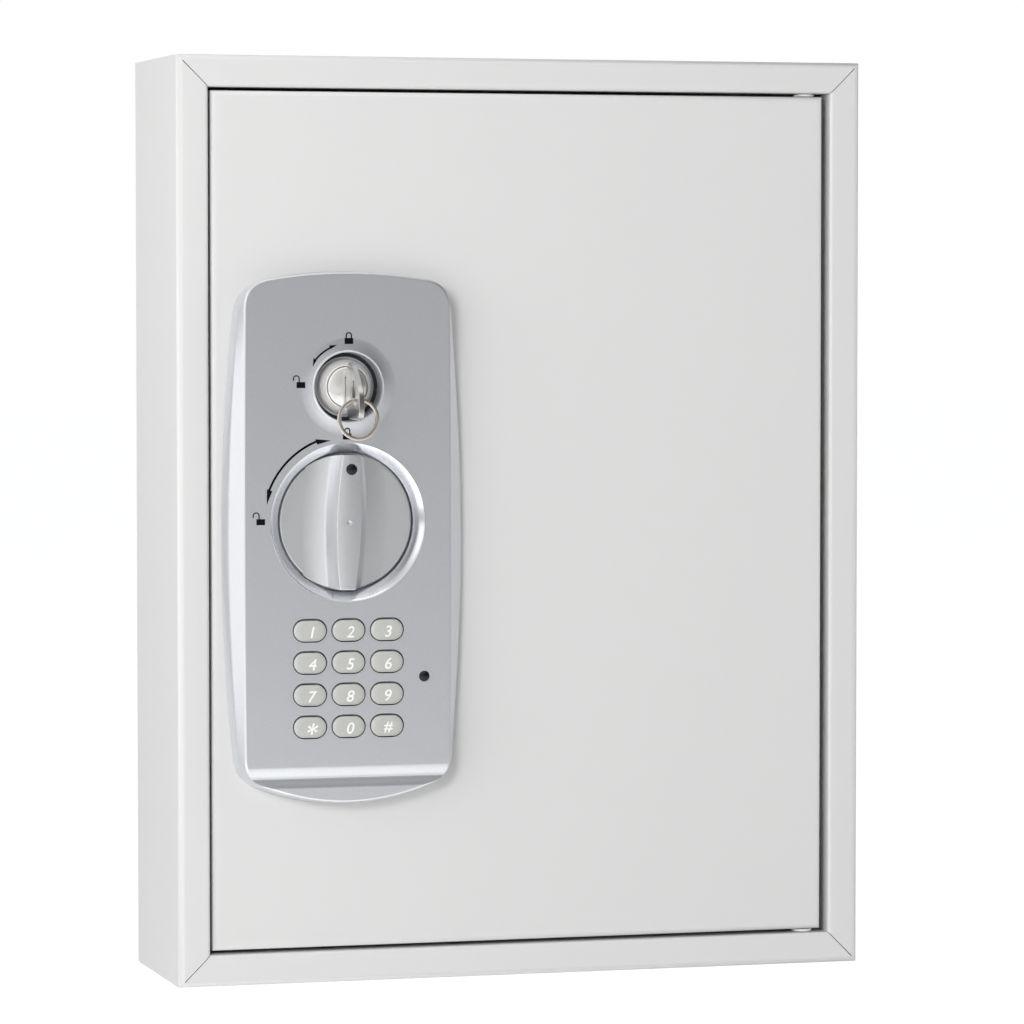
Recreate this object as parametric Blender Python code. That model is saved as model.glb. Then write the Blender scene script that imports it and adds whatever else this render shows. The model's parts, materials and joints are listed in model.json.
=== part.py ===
"""Wall-mounted steel key cabinet with an electronic lock, for 48 keys.

A folded steel case holds six hook rails. The folded door turns on two pins at its right edge.
The lock on the door has a turn knob that draws a sliding bolt, a twelve-button keypad, and an
emergency key lock. Behind the door sit the lock case, the blocking solenoid and the batteries.

Metres, +Z up. The front faces -Y, and the origin is the centre of the back face, on the wall.
"""

import math

import bmesh
import bpy
from mathutils import Matrix, Vector

mm = 0.001

# Case, folded from one sheet
CASE_WIDTH = 270 * mm
CASE_HEIGHT = 350 * mm
CASE_DEPTH = 80 * mm
SHEET = 1.0 * mm
FRONT_BEND = 2.2 * mm
BACK_BEND = 2.5 * mm
FLANGE = 12 * mm
LIP_DEPTH = 12 * mm
LIP_BEND = 1.4 * mm
MITRE_SLIT = 0.35 * mm
WALL_HOLE_RADIUS = 3.5 * mm
WALL_HOLE_FROM_SIDE = 40 * mm
WALL_HOLE_FROM_TOP = 55 * mm

# Fits shared by all pieces
GAP = 0.3 * mm
RUNNING_GAP = 0.2 * mm
OVERRUN = 2 * mm

# Door
DOOR_GAP_LEFT = 1.2 * mm
DOOR_GAP_RIGHT = 3.0 * mm
DOOR_GAP_TOP = 1.3 * mm
DOOR_GAP_BOTTOM = 1.5 * mm
DOOR_SET_BACK = 0.5 * mm
DOOR_BEND = 2.0 * mm
DOOR_DEPTH = 11 * mm
DOOR_REAR_LIP = 8 * mm

# Hinge pins and their washers
HINGE_IN = 6 * mm
HINGE_BEHIND_FACE = 5.5 * mm
PIN_RADIUS = 2 * mm
PIN_HEAD_RADIUS = 4 * mm
PIN_HEAD = 1.8 * mm
PIN_INTO_DOOR = 3 * mm
WASHER_RADIUS = 4 * mm
WASHER_SEAT_GAP = 0.25 * mm

# Hook rails
RAIL_COUNT = 6
HOOK_COUNT = 8
RAIL_WIDTH = 226 * mm
RAIL_HEIGHT = 16 * mm
RAIL_SHEET = 1.0 * mm
RAIL_PITCH = 48 * mm
TOP_RAIL_FROM_TOP = 31 * mm
HOOK_PITCH = 28 * mm
HOOK_WIDTH = 4 * mm
HOOK_REACH = 11 * mm
HOOK_TIP = 6 * mm
HOOK_BEND = 2 * mm

# Door stops on the lock side, with their rubber buffers
STOP_FROM_END = 26 * mm
STOP_HEIGHT = 16 * mm
STOP_SHEET = 1.2 * mm
STOP_LEG = 9 * mm
STOP_REACH_IN = 9 * mm
BUFFER_RADIUS = 3 * mm
BUFFER_LENGTH = 1.9 * mm

# Lock housing on the door's front
LOCK_FROM_LEFT = 63.2 * mm
HOUSING_HEIGHT = 9.5 * mm
HOUSING_WALL = 2.0 * mm
FACE_HALF_WIDTH = 39.4 * mm
FACE_TOP = 93 * mm
FACE_BOTTOM = 103.2 * mm
BASE_HALF_WIDTH = 46.2 * mm
BASE_END_HALF_WIDTH = 41 * mm
BASE_TOP = 94.2 * mm
BASE_BOTTOM = 106.4 * mm
HOUSING_CORNER = 11 * mm
TOP_RISE = 3.6 * mm
BOTTOM_RISE = 9.5 * mm
BASE_STEP = 3 * mm
BASE_STEP_IN = 1.0 * mm
FACE_EDGE = 0.8 * mm
SCOOP_RADIUS = 9 * mm
SCOOP_DEPTH = 2 * mm
SCOOP_FROM_BOTTOM = 7.8 * mm
CAVITY_FROM_BOTTOM = 12 * mm
CAVITY_RISE = 2 * mm
SIDE_STEPS = 6
END_STEPS = 8
CORNER_STEPS = 4

# Turn knob in its dish
KNOB_RING_RADIUS = 29.7 * mm
KNOB_RING_PROUD = 0.4 * mm
KNOB_RING_RIM = 0.5 * mm
KNOB_RING_MOUTH = 25.7 * mm
KNOB_WELL_FLOOR = 2.5 * mm
DISH_DEPTH = 5 * mm
DISC_RADIUS = 25.2 * mm
KNOB_TILT = math.radians(1.5)
GRIP_RISE = 9.6 * mm
GRIP_LENGTH = 49 * mm
GRIP_TOP_WIDTH = 9.4 * mm
GRIP_TOP_END_WIDTH = 6 * mm
GRIP_FOOT_WIDTH = 19 * mm
MARKER_RADIUS = 1.9 * mm
MARKER_UP = 20.3 * mm
MARKER_PROUD = 0.7 * mm
MARKER_SEAT = 1.0 * mm
GRIP_PIT_RADIUS = 1.1 * mm
GRIP_PIT_DEPTH = 1.4 * mm

# Spindle, drive disc and sliding bolt
SPINDLE_RADIUS = 4 * mm
DRIVE_DISC_RADIUS = 12.5 * mm
DRIVE_DISC_THICKNESS = 2.5 * mm
DRIVE_DISC_FROM_DOOR = 5.5 * mm
CRANK_RADIUS = 7 * mm
CRANK_PIN_RADIUS = 2 * mm
CRANK_SLOT_GAP = 0.35 * mm
BOLT_THICKNESS = 5 * mm
BOLT_ABOVE = 5.5 * mm
BOLT_BELOW = 13.5 * mm
BOLT_ENGAGED = 6 * mm
BOLT_BEHIND_LIP = 0.6 * mm
BOLT_TAIL = 5 * mm
BOLT_NOSE_BEVEL = 1.5 * mm

# Emergency key lock
KEY_LOCK_UP = 50.8 * mm
COLLAR_RADIUS = 13.9 * mm
COLLAR_BORE = 12 * mm
COLLAR_PROUD = 1.2 * mm
CYLINDER_HEAD_RADIUS = 10.4 * mm
CYLINDER_SUNK = 6 * mm
CYLINDER_RADIUS = 9.4 * mm
CYLINDER_INTO_CASE = 13 * mm
PLUG_RADIUS = 7.6 * mm
PLUG_TAIL = 1.5 * mm
NUT_ACROSS_FLATS = 24 * mm
NUT_THICKNESS = 4 * mm
CAM_THICKNESS = 1.5 * mm
CAM_WIDTH = 8 * mm
CAM_REACH = 19 * mm
CAM_SCREW_RADIUS = 3.2 * mm
CAM_SCREW_HEAD = 1.8 * mm

# Key in the emergency lock, with its wire ring
BLADE_LENGTH = 19 * mm
BLADE_WIDTH = 7.6 * mm
KEY_THICKNESS = 2.2 * mm
SHOULDER_LENGTH = 5.5 * mm
BOW_LENGTH = 20 * mm
BOW_HEIGHT = 21 * mm
BOW_CORNER = 6 * mm
EYE_LENGTH = 9.6 * mm
EYE_WIDTH = 5 * mm
EYE_FROM_END = 7 * mm
RING_RADIUS = 7.3 * mm
RING_WIRE_RADIUS = 0.5 * mm

# Keypad
BUTTON_COLUMNS = 3
BUTTON_ROWS = 4
BUTTON_PITCH_ACROSS = 14.9 * mm
BUTTON_PITCH_DOWN = 12.1 * mm
BUTTON_TOP_ROW_DOWN = 40.6 * mm
BUTTON_LENGTH = 12.4 * mm
BUTTON_WIDTH = 8.2 * mm
BUTTON_PROUD = 1.3 * mm
BUTTON_HOLE_GAP = 0.3 * mm
BUTTON_FLANGE = 0.8 * mm
BUTTON_FLANGE_THICKNESS = 0.8 * mm
BUTTON_TRAVEL = 0.8 * mm
BUTTON_EDGE = 0.5 * mm
KEYPAD_MARGIN = 2.2 * mm
BOARD_THICKNESS = 1.6 * mm
LAMP_RADIUS = 2.0 * mm
LAMP_RIGHT = 29.5 * mm
LAMP_DOWN = 58.6 * mm
LAMP_PROUD = 0.9 * mm

# Lock case behind the door
LOCK_CASE_SHEET = 1.2 * mm
LOCK_CASE_LEFT = 40.2 * mm
LOCK_CASE_RIGHT = 31 * mm
LOCK_CASE_UP = 76 * mm
LOCK_CASE_DOWN = 27 * mm
LOCK_CASE_DEPTH = 25.5 * mm
LOCK_CASE_CORNER = 3 * mm
SCREW_ACROSS = 26 * mm
SCREW_UP = 67.5 * mm
SCREW_DOWN = 20.5 * mm
SCREW_RADIUS = 1.8 * mm
SCREW_HEAD_RADIUS = 3.6 * mm
SCREW_HEAD = 2.0 * mm
SCREW_INTO_HOUSING = 5 * mm
BOSS_WALL = 2.2 * mm

# Blocking solenoid with its plunger
SOLENOID_LEFT = 21.5 * mm
SOLENOID_WIDTH = 14.5 * mm
SOLENOID_DEEP = 15 * mm
SOLENOID_LENGTH = 21 * mm
SOLENOID_ABOVE_BOLT = 6.5 * mm
SOLENOID_CORNER = 2 * mm
PLUNGER_RADIUS = 2 * mm
PLUNGER_IN_NOTCH = 4.2 * mm
PLUNGER_TRAVEL = 5 * mm
PLUNGER_HEAD_RADIUS = 3.6 * mm
PLUNGER_HEAD = 2 * mm
HEAD_ABOVE_CAM = 0.8 * mm

# Battery box behind the door
CELL_RADIUS = 7.15 * mm
CELL_LENGTH = 49.5 * mm
CELL_NIPPLE_RADIUS = 2.7 * mm
CELL_NIPPLE = 1.0 * mm
CELL_COUNT = 4
CELL_GAP = 0.5 * mm
BATTERY_WALL = 1.5 * mm
BATTERY_BELOW_CASE = 13 * mm
BATTERY_CORNER = 2 * mm
LID_THICKNESS = 1.6 * mm
LID_GRIP_RADIUS = 5 * mm
LID_GRIP_RISE = 1.0 * mm

# Cable from the keypad board to the solenoid
CABLE_RADIUS = 1.4 * mm
CABLE_HOLE_RADIUS = 3 * mm
CABLE_RIGHT = 16 * mm
CABLE_BEHIND_DOOR = 7 * mm
CABLE_BEHIND_BOLT = 2.2 * mm
CABLE_BELOW_CASE = 8.5 * mm
CABLE_IN_CASE = 7 * mm
CABLE_BEND = 4 * mm

# Turns and counts of facets
KNOB_TURN = math.radians(90)
SHARP_ANGLE = math.radians(35)
FINE = 48
MEDIUM = 32
COARSE = 20
SMALL = 12
BEND_STEPS = 3

# The grip's ends narrow by this share of a half circle, and its flanks are lofted at these heights
GRIP_END_SHARE = 0.9
GRIP_LEVEL_SHARES = (0, 0.15, 0.35, 0.6, 1)
GRIP_STEPS = 12
DOME_TURNS = (0, math.radians(30), math.radians(60))

# Planes and places that follow from the sizes above
LEFT = -CASE_WIDTH / 2
RIGHT = CASE_WIDTH / 2
TOP = CASE_HEIGHT / 2
BOTTOM = -CASE_HEIGHT / 2
FRONT = -CASE_DEPTH
LIP_REAR = FRONT + LIP_DEPTH
LIP_LEFT = LEFT + FLANGE - SHEET
DOOR_FRONT = FRONT + DOOR_SET_BACK
DOOR_INNER = DOOR_FRONT + SHEET
DOOR_REAR = DOOR_FRONT + DOOR_DEPTH
DOOR_LEFT = LEFT + FLANGE + DOOR_GAP_LEFT
DOOR_RIGHT = RIGHT - FLANGE - DOOR_GAP_RIGHT
DOOR_TOP = TOP - FLANGE - DOOR_GAP_TOP
DOOR_BOTTOM = BOTTOM + FLANGE + DOOR_GAP_BOTTOM
HINGE_X = DOOR_RIGHT - HINGE_IN
HINGE_Y = DOOR_FRONT + HINGE_BEHIND_FACE
HINGE_AXIS = (HINGE_X, HINGE_Y, 0)
LOCK_X = LEFT + LOCK_FROM_LEFT
HOUSING_BACK = DOOR_FRONT - GAP
FACE = HOUSING_BACK - HOUSING_HEIGHT
WELL_FLOOR = HOUSING_BACK - KNOB_WELL_FLOOR
KNOB_BACK = WELL_FLOOR - GAP
DISC_FRONT = FACE + DISH_DEPTH
GRIP_FRONT = DISC_FRONT - GRIP_RISE
TRAY_FRONT = DOOR_INNER + GAP
TRAY_INNER = TRAY_FRONT + LOCK_CASE_SHEET
TRAY_REAR = TRAY_FRONT + LOCK_CASE_DEPTH
COVER_REAR = TRAY_REAR + GAP + LOCK_CASE_SHEET
TRAY_LEFT = LOCK_X - LOCK_CASE_LEFT
TRAY_RIGHT = LOCK_X + LOCK_CASE_RIGHT
DRIVE_DISC_FRONT = DOOR_INNER + DRIVE_DISC_FROM_DOOR
BOLT_FRONT = LIP_REAR + BOLT_BEHIND_LIP
BOLT_REAR = BOLT_FRONT + BOLT_THICKNESS
CRANK_OFFSET = CRANK_RADIUS * math.sin(KNOB_TURN / 2)
BOLT_TRAVEL = 2 * CRANK_OFFSET
COLLAR_FRONT = FACE - COLLAR_PROUD
CYLINDER_FRONT = COLLAR_FRONT + CYLINDER_SUNK
CYLINDER_REAR = TRAY_INNER + CYLINDER_INTO_CASE
PLUG_REAR = CYLINDER_REAR + PLUG_TAIL
CAM_REAR = PLUG_REAR + GAP + CAM_THICKNESS
BUTTON_FRONT = FACE - BUTTON_PROUD
BUTTON_REAR = FACE + HOUSING_WALL + GAP + BUTTON_FLANGE_THICKNESS
BOARD_REAR = HOUSING_BACK - GAP
BOARD_FRONT = BOARD_REAR - BOARD_THICKNESS
SOLENOID_X = LOCK_X - SOLENOID_LEFT
SOLENOID_Y = (BOLT_FRONT + BOLT_REAR) / 2
SOLENOID_BOTTOM = BOLT_ABOVE + SOLENOID_ABOVE_BOLT
SOLENOID_TOP = SOLENOID_BOTTOM + SOLENOID_LENGTH
PLUNGER_TIP = BOLT_ABOVE - PLUNGER_IN_NOTCH
PLUNGER_HEAD_BOTTOM = KEY_LOCK_UP + CAM_WIDTH / 2 + HEAD_ABOVE_CAM
CELL_PITCH = 2 * CELL_RADIUS + CELL_GAP
BATTERY_HALF_WIDTH = CELL_COUNT * CELL_PITCH / 2 + CELL_GAP / 2 + BATTERY_WALL
BATTERY_TOP = -LOCK_CASE_DOWN - BATTERY_BELOW_CASE
BATTERY_INSIDE = CELL_LENGTH + 2 * CELL_GAP
BATTERY_BOTTOM = BATTERY_TOP - BATTERY_INSIDE - 2 * BATTERY_WALL
BATTERY_FLOOR = TRAY_FRONT + BATTERY_WALL
BATTERY_RIM = BATTERY_FLOOR + 2 * CELL_RADIUS + 2 * CELL_GAP
KEY_EYE_Y = CYLINDER_FRONT - GAP - SHOULDER_LENGTH - BOW_LENGTH + EYE_FROM_END
EYE_BOTTOM = KEY_LOCK_UP - EYE_LENGTH / 2
RING_TOP_Z = EYE_BOTTOM + RING_WIRE_RADIUS + RUNNING_GAP
SCREW_PLACES = [
    (LOCK_X + side * SCREW_ACROSS, height)
    for height in (SCREW_UP, -SCREW_DOWN)
    for side in (-1, 1)
]
CABLE_X = LOCK_X + CABLE_RIGHT
CABLE_Z = -LOCK_CASE_DOWN - CABLE_BELOW_CASE
CABLE_BEHIND = BOLT_REAR + CABLE_BEHIND_BOLT
SCREW_TIP = HOUSING_BACK - SCREW_INTO_HOUSING
LAMP_PLACE = (LOCK_X + LAMP_RIGHT, -LAMP_DOWN)
KEYPAD_TOP = -BUTTON_TOP_ROW_DOWN + BUTTON_WIDTH / 2 + KEYPAD_MARGIN
KEYPAD_LOW = -BUTTON_TOP_ROW_DOWN - (BUTTON_ROWS - 1) * BUTTON_PITCH_DOWN - BUTTON_WIDTH / 2 - KEYPAD_MARGIN
BUTTON_NAMES = ("1", "2", "3", "4", "5", "6", "7", "8", "9", "star", "0", "hash")
BUTTON_PLACES = [
    (
        name,
        (
            LOCK_X + (i % BUTTON_COLUMNS - (BUTTON_COLUMNS - 1) / 2) * BUTTON_PITCH_ACROSS,
            -BUTTON_TOP_ROW_DOWN - i // BUTTON_COLUMNS * BUTTON_PITCH_DOWN,
        ),
    )
    for i, name in enumerate(BUTTON_NAMES)
]


# Scene and materials


def clear_scene():
    for obj in list(bpy.data.objects):
        bpy.data.objects.remove(obj, do_unlink=True)


def material(name, colour, roughness, metallic):
    """A Principled material with one colour."""
    made = bpy.data.materials.new(name)
    made.use_nodes = True
    shader = made.node_tree.nodes["Principled BSDF"]
    shader.inputs["Base Color"].default_value = (*colour, 1)
    shader.inputs["Roughness"].default_value = roughness
    shader.inputs["Metallic"].default_value = metallic
    made.diffuse_color = (*colour, 1)
    return made


# Outlines, as lists of (across, up) points


def arc(centre, radius, start, end, steps):
    """Points on a circle from one angle in degrees to another, both ends included."""
    angles = [math.radians(start + (end - start) * i / steps) for i in range(steps + 1)]
    return [(centre[0] + radius * math.cos(a), centre[1] + radius * math.sin(a)) for a in angles]


def circle(centre, radius, steps):
    return arc(centre, radius, 0, 360, steps)[:-1]


def rectangle(across, up):
    return [(across[0], up[0]), (across[1], up[0]), (across[1], up[1]), (across[0], up[1])]


def rounded(across, up, radius, steps=BEND_STEPS):
    """A rectangle with round corners."""
    left, right = across[0] + radius, across[1] - radius
    low, high = up[0] + radius, up[1] - radius
    corners = [((right, low), -90), ((right, high), 0), ((left, high), 90), ((left, low), 180)]
    return [p for centre, a in corners for p in arc(centre, radius, a, a + 90, steps)]


def stadium(centre, length, width, steps=4):
    """A slot shape, long across."""
    reach = (length - width) / 2
    right = arc((centre[0] + reach, centre[1]), width / 2, -90, 90, steps)
    left = arc((centre[0] - reach, centre[1]), width / 2, 90, 270, steps)
    return right + left


def curve_through(start, control, end, steps):
    """A quadratic curve, both ends included."""
    points = []
    for i in range(steps + 1):
        t = i / steps
        points.append(
            tuple((1 - t) ** 2 * a + 2 * t * (1 - t) * b + t**2 * c for a, b, c in zip(start, control, end))
        )
    return points


def housing_outline(half_mid, half_end, top, bottom, top_rise, bottom_rise):
    """The lock housing's outline: bowed sides, a shallow arched top and a deeper arched bottom."""
    middle = (top - bottom) / 2
    half_height = (top + bottom) / 2

    def side(z):
        return half_end + (half_mid - half_end) * (1 - ((z - middle) / half_height) ** 2)

    def end(x, height, rise):
        return height - rise * (x / half_end) ** 2

    top_corner = (side(top - top_rise), top - top_rise)
    low_corner = (side(bottom_rise - bottom), bottom_rise - bottom)
    high, low = top_corner[1] - HOUSING_CORNER, low_corner[1] + HOUSING_CORNER
    right = [(side(z), z) for z in spread(low, high, SIDE_STEPS)]
    reach = top_corner[0] - HOUSING_CORNER
    top_end = (reach, end(reach, top, top_rise))
    right += curve_through(right[-1], top_corner, top_end, CORNER_STEPS)[1:]
    across_top = [(x, end(x, top, top_rise)) for x in spread(reach, 0, END_STEPS // 2)][1:]
    reach = low_corner[0] - HOUSING_CORNER
    low_end = (reach, -end(reach, bottom, bottom_rise))
    across_bottom = [(x, -end(x, bottom, bottom_rise)) for x in spread(0, reach, END_STEPS // 2)]
    corner = curve_through(low_end, low_corner, right[0], CORNER_STEPS)[1:-1]
    half = across_bottom + corner + right + across_top
    mirrored = [(-x, z) for x, z in reversed(half[1:-1])]
    return [(LOCK_X + x, z) for x, z in half + mirrored]


def spread(first, last, steps):
    return [first + (last - first) * i / steps for i in range(steps + 1)]


# Closed bodies, each added to a bmesh


def in_plane(axis, point, level):
    """The place of an outline's point on the plane at this level of the axis."""
    if axis == "X":
        return Vector((level, point[0], point[1]))
    if axis == "Y":
        return Vector((point[0], level, point[1]))
    return Vector((point[0], point[1], level))


def add_loft(bm, rings):
    """A body through rings of equally many points, closed by a face at each end."""
    made = [[bm.verts.new(p) for p in ring] for ring in rings]
    for one, other in zip(made, made[1:]):
        for i in range(len(one)):
            j = (i + 1) % len(one)
            bm.faces.new((one[i], one[j], other[j], other[i]))
    bm.faces.new(made[0])
    bm.faces.new(made[-1])


def add_prism(bm, outline, axis, low, high):
    add_loft(bm, [[in_plane(axis, p, level) for p in outline] for level in (low, high)])


def add_box(bm, across, deep, up):
    add_prism(bm, rectangle(across, up), "Y", *deep)


def add_turned(bm, profile, centre, axis, steps):
    """A body turned about an axis: (radius, level) points, from axis to axis or as a closed loop."""
    loop = min(r for r, _ in profile) > 0
    rows = []
    for radius, level in profile:
        if radius == 0:
            rows.append([bm.verts.new(in_plane(axis, centre, level))])
        else:
            rows.append([bm.verts.new(in_plane(axis, p, level)) for p in circle(centre, radius, steps)])
    pairs = list(zip(rows, rows[1:])) + ([(rows[-1], rows[0])] if loop else [])
    for one, other in pairs:
        for i in range(steps):
            j = (i + 1) % steps
            corners = [one[i % len(one)], one[j % len(one)], other[j % len(other)], other[i % len(other)]]
            bm.faces.new(list(dict.fromkeys(corners)))


def add_folded(bm, profile, across, up):
    """A sheet folded round a rectangle: (inset, depth) points, each a ring with mitred corners."""
    rings = []
    for inset, y in profile:
        sides = rectangle((across[0] + inset, across[1] - inset), (up[0] + inset, up[1] - inset))
        rings.append([Vector((x, y, z)) for x, z in sides])
    add_loft(bm, rings)


def add_hole(bm, centre, radius, steps, low, high):
    """A round cutter along Y, from low to high."""
    add_prism(bm, circle(centre, radius, steps), "Y", low, high)


# Objects


def solid(name, bm, look, origin=(0, 0, 0)):
    """A named object from a bmesh in world coordinates, with its origin at the given place."""
    bmesh.ops.recalc_face_normals(bm, faces=bm.faces)
    bmesh.ops.translate(bm, verts=bm.verts, vec=-Vector(origin))
    mesh = bpy.data.meshes.new(name)
    bm.to_mesh(mesh)
    bm.free()
    mesh.shade_smooth()
    mesh.set_sharp_from_angle(angle=SHARP_ANGLE)
    obj = bpy.data.objects.new(name, mesh)
    obj.location = origin
    if look:
        mesh.materials.append(look)
    bpy.context.scene.collection.objects.link(obj)
    return obj


def helper(name, bm):
    """A hidden object that cuts or adds to another."""
    obj = solid(name, bm, None)
    obj.hide_render = True
    obj.display_type = "WIRE"
    return obj


def combine(obj, other, operation, solver="EXACT"):
    boolean = obj.modifiers.new(other.name, "BOOLEAN")
    boolean.operation = operation
    boolean.solver = solver
    boolean.object = other


def cut(obj, name, bm, solver="EXACT"):
    combine(obj, helper(name, bm), "DIFFERENCE", solver)


def fuse(obj, name, bm):
    combine(obj, helper(name, bm), "UNION")


def hang(parent, *children):
    """Parents objects and keeps them where they are."""
    for child in children:
        child.parent = parent
        child.matrix_parent_inverse = Matrix.Translation(parent.location).inverted()


# Case side


def case_shell(look):
    bm = bmesh.new()
    lip = (FLANGE - LIP_BEND, FRONT + LIP_BEND)
    front = (FRONT_BEND, FRONT + FRONT_BEND)
    back = (BACK_BEND, -BACK_BEND)
    profile = arc(back, BACK_BEND, 90, 180, BEND_STEPS)
    profile += arc(front, FRONT_BEND, 180, 270, BEND_STEPS)
    profile += arc(lip, LIP_BEND, 270, 360, BEND_STEPS)
    profile += [(FLANGE, LIP_REAR), (FLANGE - SHEET, LIP_REAR)]
    profile += arc(lip, LIP_BEND - SHEET, 360, 270, BEND_STEPS)
    profile += arc(front, FRONT_BEND - SHEET, 270, 180, BEND_STEPS)
    profile += arc(back, BACK_BEND - SHEET, 180, 90, BEND_STEPS)
    add_folded(bm, profile, (LEFT, RIGHT), (BOTTOM, TOP))
    obj = solid("case_shell", bm, look)

    holes = bmesh.new()
    for side in (-1, 1):
        for end in (-1, 1):
            place = (side * (RIGHT - WALL_HOLE_FROM_SIDE), end * (TOP - WALL_HOLE_FROM_TOP))
            add_hole(holes, place, WALL_HOLE_RADIUS, SMALL, -SHEET - OVERRUN, OVERRUN)
    cut(obj, "cut_wall_holes", holes)

    pins = bmesh.new()
    for up in ((TOP - FLANGE - OVERRUN, TOP - FLANGE + SHEET + OVERRUN),
               (BOTTOM + FLANGE - SHEET - OVERRUN, BOTTOM + FLANGE + OVERRUN)):
        add_prism(pins, circle((HINGE_X, HINGE_Y), PIN_RADIUS + GAP, SMALL), "Z", *up)
    cut(obj, "cut_pin_holes", pins)

    slits = bmesh.new()
    inner, outer = FLANGE + OVERRUN, FRONT_BEND
    half = MITRE_SLIT / 2
    for side in (-1, 1):
        for end in (-1, 1):
            corner = Vector((side * RIGHT, 0, end * TOP))
            along = Vector((-side, 0, -end))
            across = Vector((-side, 0, end)).normalized() * half
            ends = ((inner, -1), (inner, 1), (outer, 1), (outer, -1))
            flat = [corner + along * d + across * s for d, s in ends]
            levels = (FRONT - OVERRUN, LIP_REAR + OVERRUN)
            add_loft(slits, [[p + Vector((0, y, 0)) for p in flat] for y in levels])
    cut(obj, "cut_mitre_slits", slits)
    return obj


def hinge_piece(name, end, look, washer_look):
    """A headed pin through the case's lip into the door's return, and the washer between the two."""
    edge = DOOR_TOP if end > 0 else DOOR_BOTTOM
    lip = end * (TOP - FLANGE + SHEET)
    bm = bmesh.new()
    tip = edge - end * PIN_INTO_DOOR
    head = lip + end * GAP
    profile = [(0, tip), (PIN_RADIUS, tip), (PIN_RADIUS, head), (PIN_HEAD_RADIUS, head)]
    profile += [(PIN_HEAD_RADIUS, head + end * PIN_HEAD), (0, head + end * PIN_HEAD)]
    add_turned(bm, profile, (HINGE_X, HINGE_Y), "Z", COARSE)
    pin = solid(f"hinge_pin_{name}", bm, look, (HINGE_X, HINGE_Y, edge))

    bm = bmesh.new()
    low = edge + end * WASHER_SEAT_GAP
    high = end * (TOP - FLANGE) - end * WASHER_SEAT_GAP
    bore = PIN_RADIUS + RUNNING_GAP
    add_turned(
        bm,
        [(bore, low), (WASHER_RADIUS, low), (WASHER_RADIUS, high), (bore, high)],
        (HINGE_X, HINGE_Y),
        "Z",
        COARSE,
    )
    washer = solid(f"hinge_washer_{name}", bm, washer_look, (HINGE_X, HINGE_Y, edge))
    return [pin, washer]


def hook_rail(number, look):
    """A flat strip on the back panel with a row of upturned hooks."""
    middle = TOP - TOP_RAIL_FROM_TOP - number * RAIL_PITCH
    rear = -SHEET - GAP
    front = rear - RAIL_SHEET
    bm = bmesh.new()
    half_height = RAIL_HEIGHT / 2
    up = (middle - half_height, middle + half_height)
    add_box(bm, (-RAIL_WIDTH / 2, RAIL_WIDTH / 2), (front, rear), up)
    obj = solid(f"hook_rail_{number + 1}", bm, look, (0, rear, middle))

    root = front + RAIL_SHEET / 2
    tip = front - HOOK_REACH
    low = middle - HOOK_TIP / 2
    bend = (tip + HOOK_BEND, low + HOOK_BEND)
    outline = [(root, low)] + arc(bend, HOOK_BEND, 270, 180, BEND_STEPS)
    outline += [(tip, low + HOOK_TIP), (tip + RAIL_SHEET, low + HOOK_TIP)]
    outline += arc(bend, HOOK_BEND - RAIL_SHEET, 180, 270, BEND_STEPS) + [(root, low + RAIL_SHEET)]
    hooks = bmesh.new()
    for i in range(HOOK_COUNT):
        x = (i - (HOOK_COUNT - 1) / 2) * HOOK_PITCH
        add_prism(hooks, outline, "X", x - HOOK_WIDTH / 2, x + HOOK_WIDTH / 2)
    fuse(obj, f"add_hooks_{number + 1}", hooks)
    return obj


def door_stop(name, end, look, rubber):
    """An angle behind the case's left lip, and the buffer that the closed door rests on."""
    middle = end * (TOP - FLANGE - STOP_FROM_END)
    up = (middle - STOP_HEIGHT / 2, middle + STOP_HEIGHT / 2)
    near = DOOR_REAR + RUNNING_GAP + BUFFER_LENGTH + RUNNING_GAP
    far = near + STOP_SHEET
    leg = LIP_LEFT - GAP
    outline = [(leg, LIP_REAR - STOP_LEG), (leg, near), (DOOR_LEFT + STOP_REACH_IN, near)]
    outline += [(DOOR_LEFT + STOP_REACH_IN, far), (leg - STOP_SHEET, far)]
    outline += [(leg - STOP_SHEET, LIP_REAR - STOP_LEG)]
    bm = bmesh.new()
    add_loft(bm, [[Vector((x, y, z)) for x, y in outline] for z in up])
    bracket = solid(f"stop_bracket_{name}", bm, look, (leg, near, middle))

    bm = bmesh.new()
    centre = (DOOR_LEFT + (STOP_REACH_IN + SHEET) / 2, middle)
    front, rear = near - RUNNING_GAP - BUFFER_LENGTH, near - RUNNING_GAP
    add_prism(bm, circle(centre, BUFFER_RADIUS, COARSE), "Y", front, rear)
    buffer = solid(f"door_buffer_{name}", bm, rubber, (centre[0], rear, middle))
    return [bracket, buffer]


# Door side


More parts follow.
